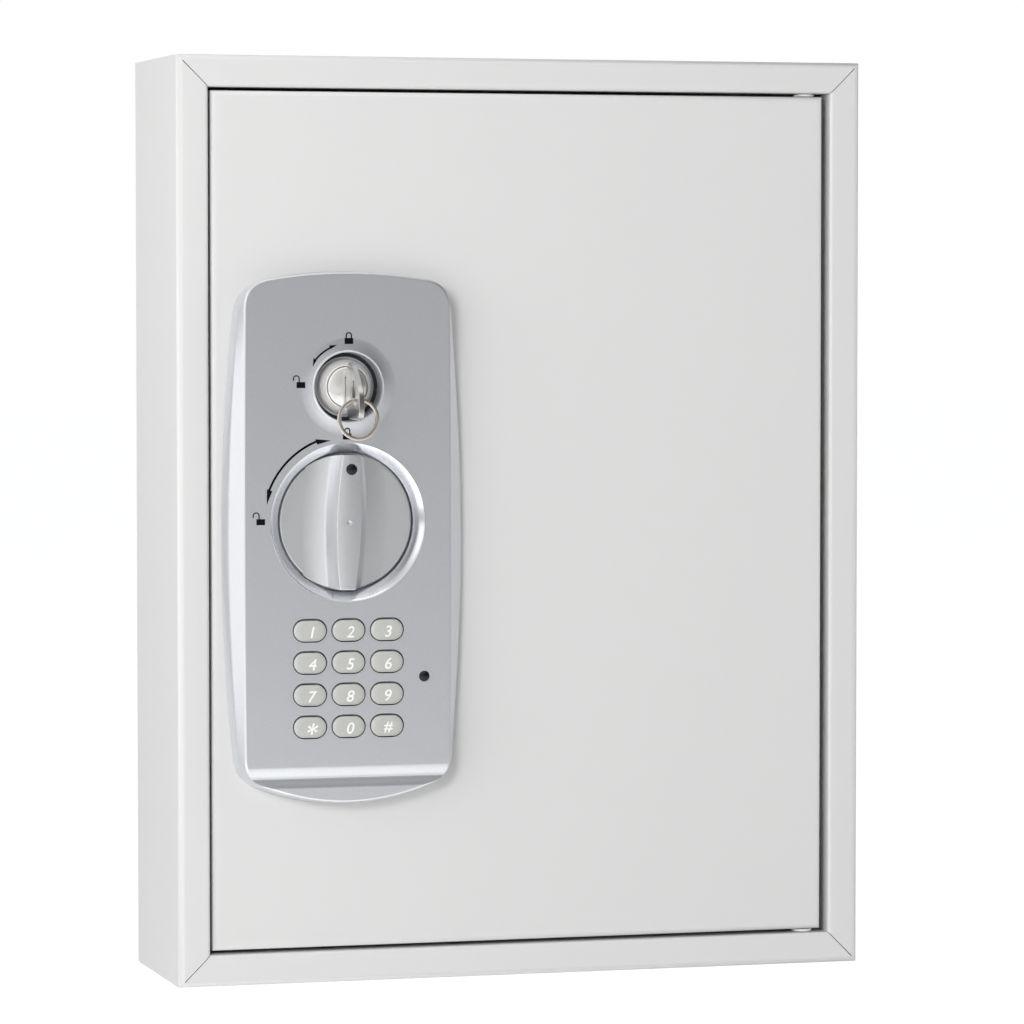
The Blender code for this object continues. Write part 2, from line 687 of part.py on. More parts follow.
def door_panel(look):
    bm = bmesh.new()
    front = (DOOR_BEND, DOOR_FRONT + DOOR_BEND)
    rear = (LIP_BEND, DOOR_REAR - LIP_BEND)
    profile = arc(front, DOOR_BEND, 270, 180, BEND_STEPS)
    profile += arc(rear, LIP_BEND, 180, 90, BEND_STEPS)
    profile += [(DOOR_REAR_LIP, DOOR_REAR), (DOOR_REAR_LIP, DOOR_REAR - SHEET)]
    profile += arc(rear, LIP_BEND - SHEET, 90, 180, BEND_STEPS)
    profile += arc(front, DOOR_BEND - SHEET, 180, 270, BEND_STEPS)
    add_folded(bm, profile, (DOOR_LEFT, DOOR_RIGHT), (DOOR_BOTTOM, DOOR_TOP))
    obj = solid("door_panel", bm, look, HINGE_AXIS)

    holes = bmesh.new()
    reach = (DOOR_FRONT - OVERRUN, DOOR_INNER + OVERRUN)
    add_hole(holes, (LOCK_X, 0), SPINDLE_RADIUS + GAP, COARSE, *reach)
    add_hole(holes, (LOCK_X, KEY_LOCK_UP), CYLINDER_RADIUS + GAP, COARSE, *reach)
    add_hole(holes, (CABLE_X, CABLE_Z), CABLE_HOLE_RADIUS, SMALL, *reach)
    for place in SCREW_PLACES:
        add_hole(holes, place, SCREW_RADIUS + GAP, SMALL, *reach)
    cut(obj, "cut_door_holes", holes)

    pins = bmesh.new()
    for low, high in ((DOOR_TOP - SHEET, DOOR_TOP), (DOOR_BOTTOM, DOOR_BOTTOM + SHEET)):
        bore = circle((HINGE_X, HINGE_Y), PIN_RADIUS + GAP, SMALL)
        add_prism(pins, bore, "Z", low - OVERRUN, high + OVERRUN)
    cut(obj, "cut_door_pin_holes", pins)
    return obj


def lock_housing(look):
    def outline(half_mid, half_end, top, bottom, inset, rise=BOTTOM_RISE):
        halves = (half_mid - inset, half_end - inset)
        return housing_outline(*halves, top - inset, bottom - inset, TOP_RISE, rise)

    base = (BASE_HALF_WIDTH, BASE_END_HALF_WIDTH, BASE_TOP, BASE_BOTTOM)
    face = (FACE_HALF_WIDTH, FACE_HALF_WIDTH, FACE_TOP, FACE_BOTTOM)
    levels = [
        (outline(*base, 0), HOUSING_BACK),
        (outline(*base, BASE_STEP_IN), HOUSING_BACK - BASE_STEP),
        (outline(*face, 0), FACE + FACE_EDGE),
        (outline(*face, FACE_EDGE), FACE),
    ]
    bm = bmesh.new()
    add_loft(bm, [[in_plane("Y", p, y) for p in points] for points, y in levels])
    obj = solid("lock_housing", bm, look, (LOCK_X, HOUSING_BACK, 0))

    scoop = bmesh.new()
    centre = (FACE - SCOOP_RADIUS + SCOOP_DEPTH, -FACE_BOTTOM + SCOOP_FROM_BOTTOM)
    add_prism(
        scoop, circle(centre, SCOOP_RADIUS, MEDIUM), "X", LOCK_X - BASE_HALF_WIDTH, LOCK_X + BASE_HALF_WIDTH
    )
    cut(obj, "cut_scoop", scoop)

    cavity = bmesh.new()
    narrow = (FACE_HALF_WIDTH, FACE_HALF_WIDTH, FACE_TOP, FACE_BOTTOM - CAVITY_FROM_BOTTOM)
    points = outline(*narrow, HOUSING_WALL + FACE_EDGE, CAVITY_RISE)
    add_prism(cavity, points, "Y", FACE + HOUSING_WALL, HOUSING_BACK + OVERRUN)
    cavity = helper("cut_cavity", cavity)
    reach = (FACE, HOUSING_BACK + 2 * OVERRUN)
    islands = [((LOCK_X, 0), KNOB_RING_RADIUS + GAP + HOUSING_WALL, FINE)]
    islands += [((LOCK_X, KEY_LOCK_UP), COLLAR_RADIUS + GAP + HOUSING_WALL, MEDIUM)]
    islands += [(place, SCREW_RADIUS + BOSS_WALL, SMALL) for place in SCREW_PLACES]
    for number, (centre, radius, steps) in enumerate(islands):
        bm = bmesh.new()
        add_hole(bm, centre, radius, steps, *reach)
        cut(cavity, f"keep_boss_{number}", bm)
    combine(obj, cavity, "DIFFERENCE")

    wells = bmesh.new()
    front = FACE - OVERRUN
    add_hole(wells, (LOCK_X, 0), KNOB_RING_RADIUS + GAP, FINE, front, WELL_FLOOR)
    add_hole(wells, (LOCK_X, KEY_LOCK_UP), COLLAR_RADIUS + GAP, MEDIUM, front, WELL_FLOOR)
    add_hole(wells, LAMP_PLACE, LAMP_RADIUS + GAP, SMALL, front, FACE + HOUSING_WALL + OVERRUN)
    for _, centre in BUTTON_PLACES:
        slot = stadium(centre, BUTTON_LENGTH + 2 * BUTTON_HOLE_GAP, BUTTON_WIDTH + 2 * BUTTON_HOLE_GAP)
        add_prism(wells, slot, "Y", front, FACE + HOUSING_WALL + OVERRUN)
    cut(obj, "cut_wells", wells)

    bores = bmesh.new()
    rear = HOUSING_BACK + OVERRUN
    add_hole(bores, (LOCK_X, 0), SPINDLE_RADIUS + GAP, COARSE, WELL_FLOOR - OVERRUN, rear)
    add_hole(bores, (LOCK_X, KEY_LOCK_UP), CYLINDER_RADIUS + GAP, COARSE, WELL_FLOOR - OVERRUN, rear)
    cut(obj, "cut_bores", bores, "MANIFOLD")
    threads = bmesh.new()
    for place in SCREW_PLACES:
        add_hole(threads, place, SCREW_RADIUS + RUNNING_GAP, SMALL, SCREW_TIP - GAP, rear)
    cut(obj, "cut_screw_bores", threads, "MANIFOLD")
    return obj


def knob_ring(look):
    """The dished ring that the knob turns in."""
    front = FACE - KNOB_RING_PROUD
    rim = KNOB_RING_RADIUS - KNOB_RING_RIM
    profile = [(KNOB_RING_RADIUS, KNOB_BACK), (KNOB_RING_RADIUS, front)]
    profile += curve_through((rim, front), (rim, DISC_FRONT), (KNOB_RING_MOUTH, DISC_FRONT), CORNER_STEPS)
    profile += [(KNOB_RING_MOUTH, KNOB_BACK)]
    bm = bmesh.new()
    add_turned(bm, profile, (LOCK_X, 0), "Y", FINE)
    return solid("knob_ring", bm, look, (LOCK_X, FACE, 0))


def knob(look, dark):
    """The disc with its tall grip, and the marker set into the grip."""
    bm = bmesh.new()
    add_hole(bm, (LOCK_X, 0), DISC_RADIUS, FINE, DISC_FRONT, KNOB_BACK)
    obj = solid("knob", bm, look, (LOCK_X, DISC_FRONT, 0))

    half = GRIP_LENGTH / 2
    end_radius = GRIP_TOP_END_WIDTH / 2
    tilt = Matrix.Rotation(KNOB_TILT, 4, "Y")

    def half_width(z, share):
        """Half the grip's width at a height z, from its foot (share 0) to its top (share 1)."""
        top = GRIP_TOP_END_WIDTH / 2 + (GRIP_TOP_WIDTH - GRIP_TOP_END_WIDTH) / 2 * (1 - (z / half) ** 2)
        past = max(0, abs(z) - (half - end_radius)) / end_radius
        foot = GRIP_FOOT_WIDTH / 2 * math.sqrt(max(0, 1 - (z / DISC_RADIUS) ** 2))
        return (top + (foot - top) * (1 - share) ** 2) * math.sqrt(max(0, 1 - past**2 * GRIP_END_SHARE))

    turns = [math.pi * (i / GRIP_STEPS - 1 / 2) for i in range(GRIP_STEPS + 1)]
    heights = [half * math.sin(turn) for turn in turns]
    rings = []
    for share in GRIP_LEVEL_SHARES:
        depth = DISC_FRONT + RUNNING_GAP - (GRIP_RISE + RUNNING_GAP) * share
        right = [(half_width(z, share), z) for z in heights]
        outline = right + [(-x, z) for x, z in reversed(right)]
        rings.append([tilt @ Vector((x, 0, z)) + Vector((LOCK_X, depth, 0)) for x, z in outline])
    grip = bmesh.new()
    add_loft(grip, rings)
    fuse(obj, "add_grip", grip)

    marker_place = tilt @ Vector((0, 0, MARKER_UP))
    marker_place = (LOCK_X + marker_place.x, marker_place.z)
    pits = bmesh.new()
    seat = MARKER_RADIUS + RUNNING_GAP
    add_hole(pits, marker_place, seat, SMALL, GRIP_FRONT - OVERRUN, GRIP_FRONT + MARKER_SEAT + GAP)
    pit = [(0, GRIP_FRONT + GRIP_PIT_DEPTH), (GRIP_PIT_RADIUS, GRIP_FRONT)]
    pit += [(GRIP_PIT_RADIUS, GRIP_FRONT - OVERRUN), (0, GRIP_FRONT - OVERRUN)]
    add_turned(pits, pit, (LOCK_X, 0), "Y", SMALL)
    cut(obj, "cut_grip_pits", pits)

    bm = bmesh.new()
    dome = [(MARKER_RADIUS * math.cos(a), GRIP_FRONT - MARKER_PROUD * math.sin(a)) for a in DOME_TURNS]
    profile = [(0, GRIP_FRONT + MARKER_SEAT), (MARKER_RADIUS, GRIP_FRONT + MARKER_SEAT)]
    profile += dome + [(0, GRIP_FRONT - MARKER_PROUD)]
    add_turned(bm, profile, marker_place, "Y", SMALL)
    marker = solid("knob_marker", bm, dark, (marker_place[0], GRIP_FRONT, marker_place[1]))
    return [obj, marker]


def drive_spindle(look):
    """The knob's shaft with the drive disc, whose crank pin works in the bolt's slot."""
    rear = DRIVE_DISC_FRONT + DRIVE_DISC_THICKNESS
    profile = [(0, KNOB_BACK + GAP), (SPINDLE_RADIUS, KNOB_BACK + GAP), (SPINDLE_RADIUS, DRIVE_DISC_FRONT)]
    profile += [(DRIVE_DISC_RADIUS, DRIVE_DISC_FRONT), (DRIVE_DISC_RADIUS, rear), (0, rear)]
    bm = bmesh.new()
    add_turned(bm, profile, (LOCK_X, 0), "Y", COARSE)
    obj = solid("drive_spindle", bm, look, (LOCK_X, DRIVE_DISC_FRONT, 0))
    pin = bmesh.new()
    place = (LOCK_X - CRANK_OFFSET, -CRANK_OFFSET)
    add_hole(pin, place, CRANK_PIN_RADIUS, COARSE, DRIVE_DISC_FRONT + RUNNING_GAP, BOLT_REAR - GAP)
    fuse(obj, "add_crank_pin", pin)
    return obj


def sliding_bolt(look):
    """A flat bolt with a slot for the crank pin and a ramped notch for the blocking plunger."""
    tip = LIP_LEFT - BOLT_ENGAGED
    slot_half = CRANK_PIN_RADIUS + CRANK_SLOT_GAP
    crank_x = LOCK_X - CRANK_OFFSET
    tail = crank_x + slot_half + BOLT_TAIL
    notch_low = PLUNGER_TIP - GAP
    notch_right = SOLENOID_X + PLUNGER_RADIUS + CRANK_SLOT_GAP
    notch_left = SOLENOID_X - PLUNGER_RADIUS - GAP
    slope = PLUNGER_TRAVEL / BOLT_TRAVEL
    ramp_end = notch_left - (BOLT_ABOVE - notch_low) / slope
    bevel = BOLT_NOSE_BEVEL
    outline = [(tip + bevel, -BOLT_BELOW), (tail, -BOLT_BELOW), (tail, BOLT_ABOVE)]
    outline += [(notch_right, BOLT_ABOVE), (notch_right, notch_low)]
    outline += [(notch_left, notch_low), (ramp_end, BOLT_ABOVE)]
    outline += [(tip + bevel, BOLT_ABOVE), (tip, BOLT_ABOVE - bevel), (tip, bevel - BOLT_BELOW)]
    bm = bmesh.new()
    add_prism(bm, outline, "Y", BOLT_FRONT, BOLT_REAR)
    obj = solid("sliding_bolt", bm, look, (LOCK_X, BOLT_FRONT, 0))
    slot = bmesh.new()
    up = (-CRANK_RADIUS - slot_half, -CRANK_OFFSET + slot_half)
    add_prism(
        slot,
        rounded((crank_x - slot_half, crank_x + slot_half), up, slot_half),
        "Y",
        BOLT_FRONT - OVERRUN,
        BOLT_REAR + OVERRUN,
    )
    cut(obj, "cut_crank_slot", slot)
    return obj


def key_lock(chrome, steel, dark):
    """Collar, cylinder and nut, fixed to the door, and the plug, cam and cam screw that turn."""
    place = (LOCK_X, KEY_LOCK_UP)
    origin = (LOCK_X, CYLINDER_FRONT, KEY_LOCK_UP)
    bm = bmesh.new()
    edge = RUNNING_GAP
    profile = [(COLLAR_BORE, KNOB_BACK), (COLLAR_RADIUS, KNOB_BACK), (COLLAR_RADIUS, COLLAR_FRONT + edge)]
    profile += [(COLLAR_RADIUS - edge, COLLAR_FRONT), (COLLAR_BORE + edge, COLLAR_FRONT)]
    profile += [(COLLAR_BORE, COLLAR_FRONT + edge)]
    add_turned(bm, profile, place, "Y", MEDIUM)
    collar = solid("keylock_collar", bm, chrome, origin)

    bm = bmesh.new()
    bore = PLUG_RADIUS + RUNNING_GAP
    profile = [(bore, CYLINDER_REAR), (CYLINDER_RADIUS, CYLINDER_REAR), (CYLINDER_RADIUS, KNOB_BACK)]
    profile += [(CYLINDER_HEAD_RADIUS, KNOB_BACK), (CYLINDER_HEAD_RADIUS, CYLINDER_FRONT + edge)]
    profile += [(CYLINDER_HEAD_RADIUS - edge, CYLINDER_FRONT), (bore, CYLINDER_FRONT)]
    add_turned(bm, profile, place, "Y", MEDIUM)
    cylinder = solid("lock_cylinder", bm, chrome, origin)

    bm = bmesh.new()
    corner = NUT_ACROSS_FLATS / math.sqrt(3)
    low, high = TRAY_INNER + GAP, TRAY_INNER + GAP + NUT_THICKNESS
    add_hole(bm, place, corner, 6, low, high)
    nut = solid("cylinder_nut", bm, steel, origin)
    bm = bmesh.new()
    add_hole(bm, place, CYLINDER_RADIUS + RUNNING_GAP, COARSE, low - OVERRUN, high + OVERRUN)
    cut(nut, "cut_nut", bm)

    bm = bmesh.new()
    front = CYLINDER_FRONT + RUNNING_GAP
    add_hole(bm, place, PLUG_RADIUS, MEDIUM, front, PLUG_REAR)
    plug = solid("lock_plug", bm, chrome, origin)
    bm = bmesh.new()
    half = KEY_THICKNESS / 2 + GAP
    reach = BLADE_WIDTH / 2 + GAP
    up = (KEY_LOCK_UP - reach, KEY_LOCK_UP + reach)
    add_box(bm, (LOCK_X - half, LOCK_X + half), (front - OVERRUN, front + BLADE_LENGTH + GAP), up)
    cut(plug, "cut_keyway", bm)

    bm = bmesh.new()
    half = CAM_WIDTH / 2
    outline = arc((LOCK_X, KEY_LOCK_UP), half, 180, 360, BEND_STEPS * 2)
    outline += [(LOCK_X + half, KEY_LOCK_UP + CAM_REACH), (LOCK_X - half, KEY_LOCK_UP + CAM_REACH)]
    add_prism(bm, outline, "Y", PLUG_REAR + GAP, CAM_REAR)
    cam = solid("lock_cam", bm, steel, origin)

    bm = bmesh.new()
    add_hole(bm, place, CAM_SCREW_RADIUS, SMALL, CAM_REAR + GAP, CAM_REAR + GAP + CAM_SCREW_HEAD)
    screw = solid("cam_screw", bm, steel, origin)
    return [collar, cylinder, nut], [plug, cam, screw]


def emergency_key(look, wire):
    """The key in the plug, and the wire ring that hangs in its eye."""
    root = CYLINDER_FRONT - GAP
    neck = root - SHOULDER_LENGTH
    half = KEY_THICKNESS / 2
    blade = BLADE_WIDTH / 2
    bow = BOW_HEIGHT / 2
    tip = CYLINDER_FRONT + RUNNING_GAP + BLADE_LENGTH
    far = neck - BOW_LENGTH
    z = KEY_LOCK_UP
    outline = [(tip - blade, z - blade), (tip, z), (tip - blade, z + blade), (neck, z + blade)]
    outline += arc((neck - BOW_CORNER, z + bow - BOW_CORNER), BOW_CORNER, 45, 90, BEND_STEPS)
    outline += arc((far + BOW_CORNER, z + bow - BOW_CORNER), BOW_CORNER, 90, 180, BEND_STEPS)
    outline += arc((far + BOW_CORNER, z - bow + BOW_CORNER), BOW_CORNER, 180, 270, BEND_STEPS)
    outline += arc((neck - BOW_CORNER, z - bow + BOW_CORNER), BOW_CORNER, 270, 315, BEND_STEPS)
    outline += [(neck, z - blade)]
    bm = bmesh.new()
    add_prism(bm, outline, "X", LOCK_X - half, LOCK_X + half)
    key = solid("emergency_key", bm, look, (LOCK_X, root, z))
    eye = bmesh.new()
    points = [(KEY_EYE_Y + across, z + up) for up, across in stadium((0, 0), EYE_LENGTH, EYE_WIDTH)]
    add_prism(eye, points, "X", LOCK_X - half - OVERRUN, LOCK_X + half + OVERRUN)
    cut(key, "cut_key_eye", eye)

    bm = bmesh.new()
    centre = (LOCK_X, RING_TOP_Z - RING_RADIUS)
    section = circle((RING_RADIUS, KEY_EYE_Y), RING_WIRE_RADIUS, 8)
    add_turned(bm, section, centre, "Y", MEDIUM)
    ring = solid("key_ring", bm, wire, (LOCK_X, KEY_EYE_Y, RING_TOP_Z))
    return [key, ring]


def button(name, centre, look):
    """A stadium-shaped key with a flange behind the face."""
    edge = BUTTON_EDGE
    levels = [
        (-edge, BUTTON_FRONT),
        (0, BUTTON_FRONT + edge),
        (0, BUTTON_REAR - BUTTON_FLANGE_THICKNESS),
        (BUTTON_FLANGE, BUTTON_REAR - BUTTON_FLANGE_THICKNESS),
        (BUTTON_FLANGE, BUTTON_REAR),
    ]
    rings = []
    for grow, y in levels:
        points = stadium(centre, BUTTON_LENGTH + 2 * grow, BUTTON_WIDTH + 2 * grow)
        rings.append([in_plane("Y", p, y) for p in points])
    bm = bmesh.new()
    add_loft(bm, rings)
    return solid(f"button_{name}", bm, look, (centre[0], BUTTON_REAR, centre[1]))


def keypad_inside(rubber, board_look, lamp_look):
    """The membrane behind the buttons, the circuit board and the status lamp on it."""
    half = (BUTTON_COLUMNS - 1) / 2 * BUTTON_PITCH_ACROSS + BUTTON_LENGTH / 2 + KEYPAD_MARGIN
    top = KEYPAD_TOP
    low = KEYPAD_LOW
    bm = bmesh.new()
    deep = (BUTTON_REAR + BUTTON_TRAVEL + GAP, BOARD_FRONT - GAP)
    add_box(bm, (LOCK_X - half, LOCK_X + half), deep, (low, top))
    membrane = solid("keypad_membrane", bm, rubber, (LOCK_X, BOARD_FRONT, top))
    bm = bmesh.new()
    right = LAMP_PLACE[0] + LAMP_RADIUS + KEYPAD_MARGIN
    add_box(bm, (2 * LOCK_X - right, right), (BOARD_FRONT, BOARD_REAR), (low, top))
    board = solid("keypad_board", bm, board_look, (LOCK_X, BOARD_FRONT, top))
    bm = bmesh.new()
    shoulder = FACE
    dome = [(LAMP_RADIUS * math.cos(a), shoulder - LAMP_PROUD * math.sin(a)) for a in DOME_TURNS]
    profile = [(0, BOARD_FRONT - GAP), (LAMP_RADIUS, BOARD_FRONT - GAP)]
    profile += dome + [(0, shoulder - LAMP_PROUD)]
    add_turned(bm, profile, LAMP_PLACE, "Y", SMALL)
    lamp = solid("status_lamp", bm, lamp_look, (LAMP_PLACE[0], FACE, LAMP_PLACE[1]))
    return [membrane, board, lamp]


def lock_case(look):
    """The tray on the door's back, open at the rear, with a slot for the bolt."""
    outer = rounded((TRAY_LEFT, TRAY_RIGHT), (-LOCK_CASE_DOWN, LOCK_CASE_UP), LOCK_CASE_CORNER)
    wall = LOCK_CASE_SHEET
    across = (TRAY_LEFT + wall, TRAY_RIGHT - wall)
    up = (wall - LOCK_CASE_DOWN, LOCK_CASE_UP - wall)
    inner = rounded(across, up, LOCK_CASE_CORNER - wall)
    bm = bmesh.new()
    levels = [(outer, TRAY_FRONT), (outer, TRAY_REAR), (inner, TRAY_REAR), (inner, TRAY_INNER)]
    add_loft(bm, [[in_plane("Y", p, y) for p in points] for points, y in levels])
    obj = solid("lock_case", bm, look, (LOCK_X, TRAY_FRONT, 0))
    holes = bmesh.new()
    reach = (TRAY_FRONT - OVERRUN, TRAY_INNER + OVERRUN)
    add_hole(holes, (LOCK_X, 0), SPINDLE_RADIUS + GAP, COARSE, *reach)
    add_hole(holes, (LOCK_X, KEY_LOCK_UP), CYLINDER_RADIUS + GAP, COARSE, *reach)
    for place in SCREW_PLACES:
        add_hole(holes, place, SCREW_RADIUS + GAP, SMALL, *reach)
    cut(obj, "cut_case_holes", holes)
    ways = bmesh.new()
    add_box(
        ways,
        (TRAY_LEFT - OVERRUN, TRAY_LEFT + wall + OVERRUN),
        (BOLT_FRONT - GAP, BOLT_REAR + GAP),
        (-BOLT_BELOW - GAP, BOLT_ABOVE + GAP),
    )
    low = -LOCK_CASE_DOWN
    hole = circle((CABLE_X, CABLE_BEHIND), CABLE_RADIUS + GAP, SMALL)
    add_prism(ways, hole, "Z", low - OVERRUN, low + wall + OVERRUN)
    cut(obj, "cut_case_ways", ways)

    bm = bmesh.new()
    add_prism(bm, outer, "Y", TRAY_REAR + GAP, COVER_REAR)
    cover = solid("lock_cover", bm, look, (LOCK_X, COVER_REAR, 0))
    bm = bmesh.new()
    for place in SCREW_PLACES:
        add_hole(bm, place, SCREW_RADIUS + GAP, SMALL, TRAY_REAR - OVERRUN, COVER_REAR + OVERRUN)
    cut(cover, "cut_cover_holes", bm)
    return [obj, cover]


def lock_screw(number, place, look):
    head = COVER_REAR + GAP
    profile = [(0, SCREW_TIP), (SCREW_RADIUS, SCREW_TIP), (SCREW_RADIUS, head), (SCREW_HEAD_RADIUS, head)]
    profile += [(SCREW_HEAD_RADIUS, head + SCREW_HEAD / 2), (SCREW_HEAD_RADIUS / 2, head + SCREW_HEAD)]
    profile += [(0, head + SCREW_HEAD)]
    bm = bmesh.new()
    add_turned(bm, profile, place, "Y", SMALL)
    return solid(f"lock_screw_{number}", bm, look, (place[0], head, place[1]))


def solenoid(body_look, steel):
    half = SOLENOID_WIDTH / 2
    deep = (SOLENOID_Y - SOLENOID_DEEP / 2, SOLENOID_Y + SOLENOID_DEEP / 2)
    bm = bmesh.new()
    across = (SOLENOID_X - half, SOLENOID_X + half)
    add_prism(bm, rounded(across, deep, SOLENOID_CORNER), "Z", SOLENOID_BOTTOM, SOLENOID_TOP)
    body = solid("solenoid", bm, body_look, (SOLENOID_X, SOLENOID_Y, SOLENOID_BOTTOM))
    bore = bmesh.new()
    add_prism(
        bore,
        circle((SOLENOID_X, SOLENOID_Y), PLUNGER_RADIUS + RUNNING_GAP, COARSE),
        "Z",
        SOLENOID_BOTTOM - OVERRUN,
        SOLENOID_TOP + OVERRUN,
    )
    cut(body, "cut_solenoid_bore", bore)
    bm = bmesh.new()
    head = PLUNGER_HEAD_BOTTOM
    profile = [(0, PLUNGER_TIP), (PLUNGER_RADIUS, PLUNGER_TIP), (PLUNGER_RADIUS, head)]
    top = head + PLUNGER_HEAD
    profile += [(PLUNGER_HEAD_RADIUS, head), (PLUNGER_HEAD_RADIUS, top), (0, top)]
    add_turned(bm, profile, (SOLENOID_X, SOLENOID_Y), "Z", SMALL)
    plunger = solid("solenoid_plunger", bm, steel, (SOLENOID_X, SOLENOID_Y, PLUNGER_TIP))
    return body, plunger


def batteries(box_look, cell_look):
    """The battery box, its cells and the lid that slides down off it."""
    across = (LOCK_X - BATTERY_HALF_WIDTH, LOCK_X + BATTERY_HALF_WIDTH)
    up = (BATTERY_BOTTOM, BATTERY_TOP)
    wall = BATTERY_WALL
    outer = rounded(across, up, BATTERY_CORNER)
    inside = (across[0] + wall, across[1] - wall), (up[0] + wall, up[1] - wall)
    inner = rounded(*inside, BATTERY_CORNER - wall)
    levels = [(outer, TRAY_FRONT), (outer, BATTERY_RIM), (inner, BATTERY_RIM), (inner, BATTERY_FLOOR)]
    bm = bmesh.new()
    add_loft(bm, [[in_plane("Y", p, y) for p in points] for points, y in levels])
    box = solid("battery_box", bm, box_look, (LOCK_X, TRAY_FRONT, BATTERY_TOP))

    cells = []
    middle = (BATTERY_TOP + BATTERY_BOTTOM) / 2
    for i in range(CELL_COUNT):
        x = LOCK_X + (i - (CELL_COUNT - 1) / 2) * CELL_PITCH
        y = BATTERY_FLOOR + CELL_GAP + CELL_RADIUS
        end = 1 if i % 2 == 0 else -1
        foot = middle - end * CELL_LENGTH / 2
        top = foot + end * (CELL_LENGTH - CELL_NIPPLE)
        profile = [(0, foot), (CELL_RADIUS, foot), (CELL_RADIUS, top), (CELL_NIPPLE_RADIUS, top)]
        profile += [(CELL_NIPPLE_RADIUS, top + end * CELL_NIPPLE), (0, top + end * CELL_NIPPLE)]
        bm = bmesh.new()
        add_turned(bm, profile, (x, y), "Z", COARSE)
        cells.append(solid(f"battery_{i + 1}", bm, cell_look, (x, y, foot)))

    rim = BATTERY_RIM + GAP
    bm = bmesh.new()
    add_prism(bm, outer, "Y", rim, rim + LID_THICKNESS)
    lid = solid("battery_lid", bm, box_look, (LOCK_X, rim, BATTERY_TOP))
    grip = bmesh.new()
    place = (LOCK_X, BATTERY_BOTTOM + BATTERY_WALL + 2 * LID_GRIP_RADIUS)
    face = rim + LID_THICKNESS
    add_hole(grip, place, LID_GRIP_RADIUS, COARSE, rim + LID_THICKNESS / 2, face + LID_GRIP_RISE)
    fuse(lid, "add_lid_grip", grip)
    return [box, *cells], lid


def lock_cable(look):
    """The lead from the keypad board through the door, under and into the lock case, to the solenoid."""
    turn = CABLE_BEND
    behind = DOOR_INNER + CABLE_BEHIND_DOOR
    end = SOLENOID_BOTTOM - GAP
    level = -LOCK_CASE_DOWN + CABLE_IN_CASE
    route = [(CABLE_X, BOARD_REAR + GAP, CABLE_Z), (CABLE_X, behind, CABLE_Z)]
    route += [(CABLE_X, CABLE_BEHIND, CABLE_Z), (CABLE_X, CABLE_BEHIND, level)]
    route += [(SOLENOID_X, CABLE_BEHIND, level), (SOLENOID_X, CABLE_BEHIND, end)]
    route = [Vector(p) for p in route]
    points = [route[0]]
    for before, corner, after in zip(route, route[1:], route[2:]):
        first = corner + (before - corner).normalized() * turn
        last = corner + (after - corner).normalized() * turn
        if (before - corner).cross(after - corner).length < turn * RUNNING_GAP:
            continue
        points += [Vector(p) for p in curve_through(first, corner, last, BEND_STEPS)]
    points.append(route[-1])
    curve = bpy.data.curves.new("lock_cable", "CURVE")
    curve.dimensions = "3D"
    curve.bevel_depth = CABLE_RADIUS
    curve.bevel_resolution = 2
    curve.use_fill_caps = True
    spline = curve.splines.new("POLY")
    spline.points.add(len(points) - 1)
    for point, place in zip(spline.points, points):
        point.co = (*place, 1)
    curve.materials.append(look)
    obj = bpy.data.objects.new("lock_cable", curve)
    bpy.context.scene.collection.objects.link(obj)
    return obj


def main():
    clear_scene()
    paint = material("light_grey_paint", (0.75, 0.76, 0.75), 0.42, 0.0)
    cast = material("silver_cast_housing", (0.42, 0.44, 0.47), 0.45, 0.7)
    chrome = material("bright_chrome", (0.78, 0.79, 0.82), 0.12, 1.0)
    steel = material("zinc_plated_steel", (0.55, 0.56, 0.57), 0.38, 1.0)
    brass = material("nickel_wire", (0.72, 0.62, 0.50), 0.22, 1.0)
    nylon = material("white_nylon", (0.85, 0.85, 0.82), 0.5, 0.0)
    rubber = material("black_rubber", (0.03, 0.03, 0.03), 0.8, 0.0)
    plastic = material("black_plastic", (0.04, 0.04, 0.045), 0.45, 0.0)
    caps = material("warm_grey_caps", (0.62, 0.60, 0.55), 0.5, 0.0)
    green = material("circuit_board", (0.03, 0.22, 0.10), 0.5, 0.0)
    lamp = material("smoked_lamp", (0.05, 0.04, 0.05), 0.15, 0.0)
    wrap = material("battery_wrap", (0.10, 0.12, 0.30), 0.35, 0.2)

    case_shell(paint)
    for name, end in (("top", 1), ("bottom", -1)):
        hinge_piece(name, end, steel, nylon)
        door_stop(name, end, paint, rubber)
    for number in range(RAIL_COUNT):
        hook_rail(number, steel)

    door = door_panel(paint)
    fixed, turning = key_lock(chrome, steel, plastic)
    key, ring = emergency_key(steel, brass)
    turn_knob, marker = knob(chrome, plastic)
    coil, plunger = solenoid(plastic, steel)
    battery_parts, lid = batteries(plastic, wrap)
    hang(door, lock_housing(cast), knob_ring(chrome), *fixed, *keypad_inside(rubber, green, lamp))
    hang(door, *lock_case(steel), coil, *battery_parts, lock_cable(plastic))
    hang(door, *(lock_screw(i + 1, place, steel) for i, place in enumerate(SCREW_PLACES)))
    hang(door, turn_knob, sliding_bolt(steel), plunger, lid, turning[0])
    hang(turn_knob, marker, drive_spindle(steel))
    hang(turning[0], *turning[1:], key)
    hang(key, ring)
    hang(door, *(button(name, centre, caps) for name, centre in BUTTON_PLACES))


main()
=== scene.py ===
# %% [markdown]
# # A key cabinet with an electronic lock
# The object is a folded steel case with a hinged door, a cast lock plate with a turn knob and a
# keypad, and an emergency lock with its key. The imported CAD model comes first, as a fixed frame. The
# box it fills is kept from the start, so that the finished looks can be measured against it.

import contextlib
import json
import math

import bmesh
import bpy
from mathutils import Matrix, Vector

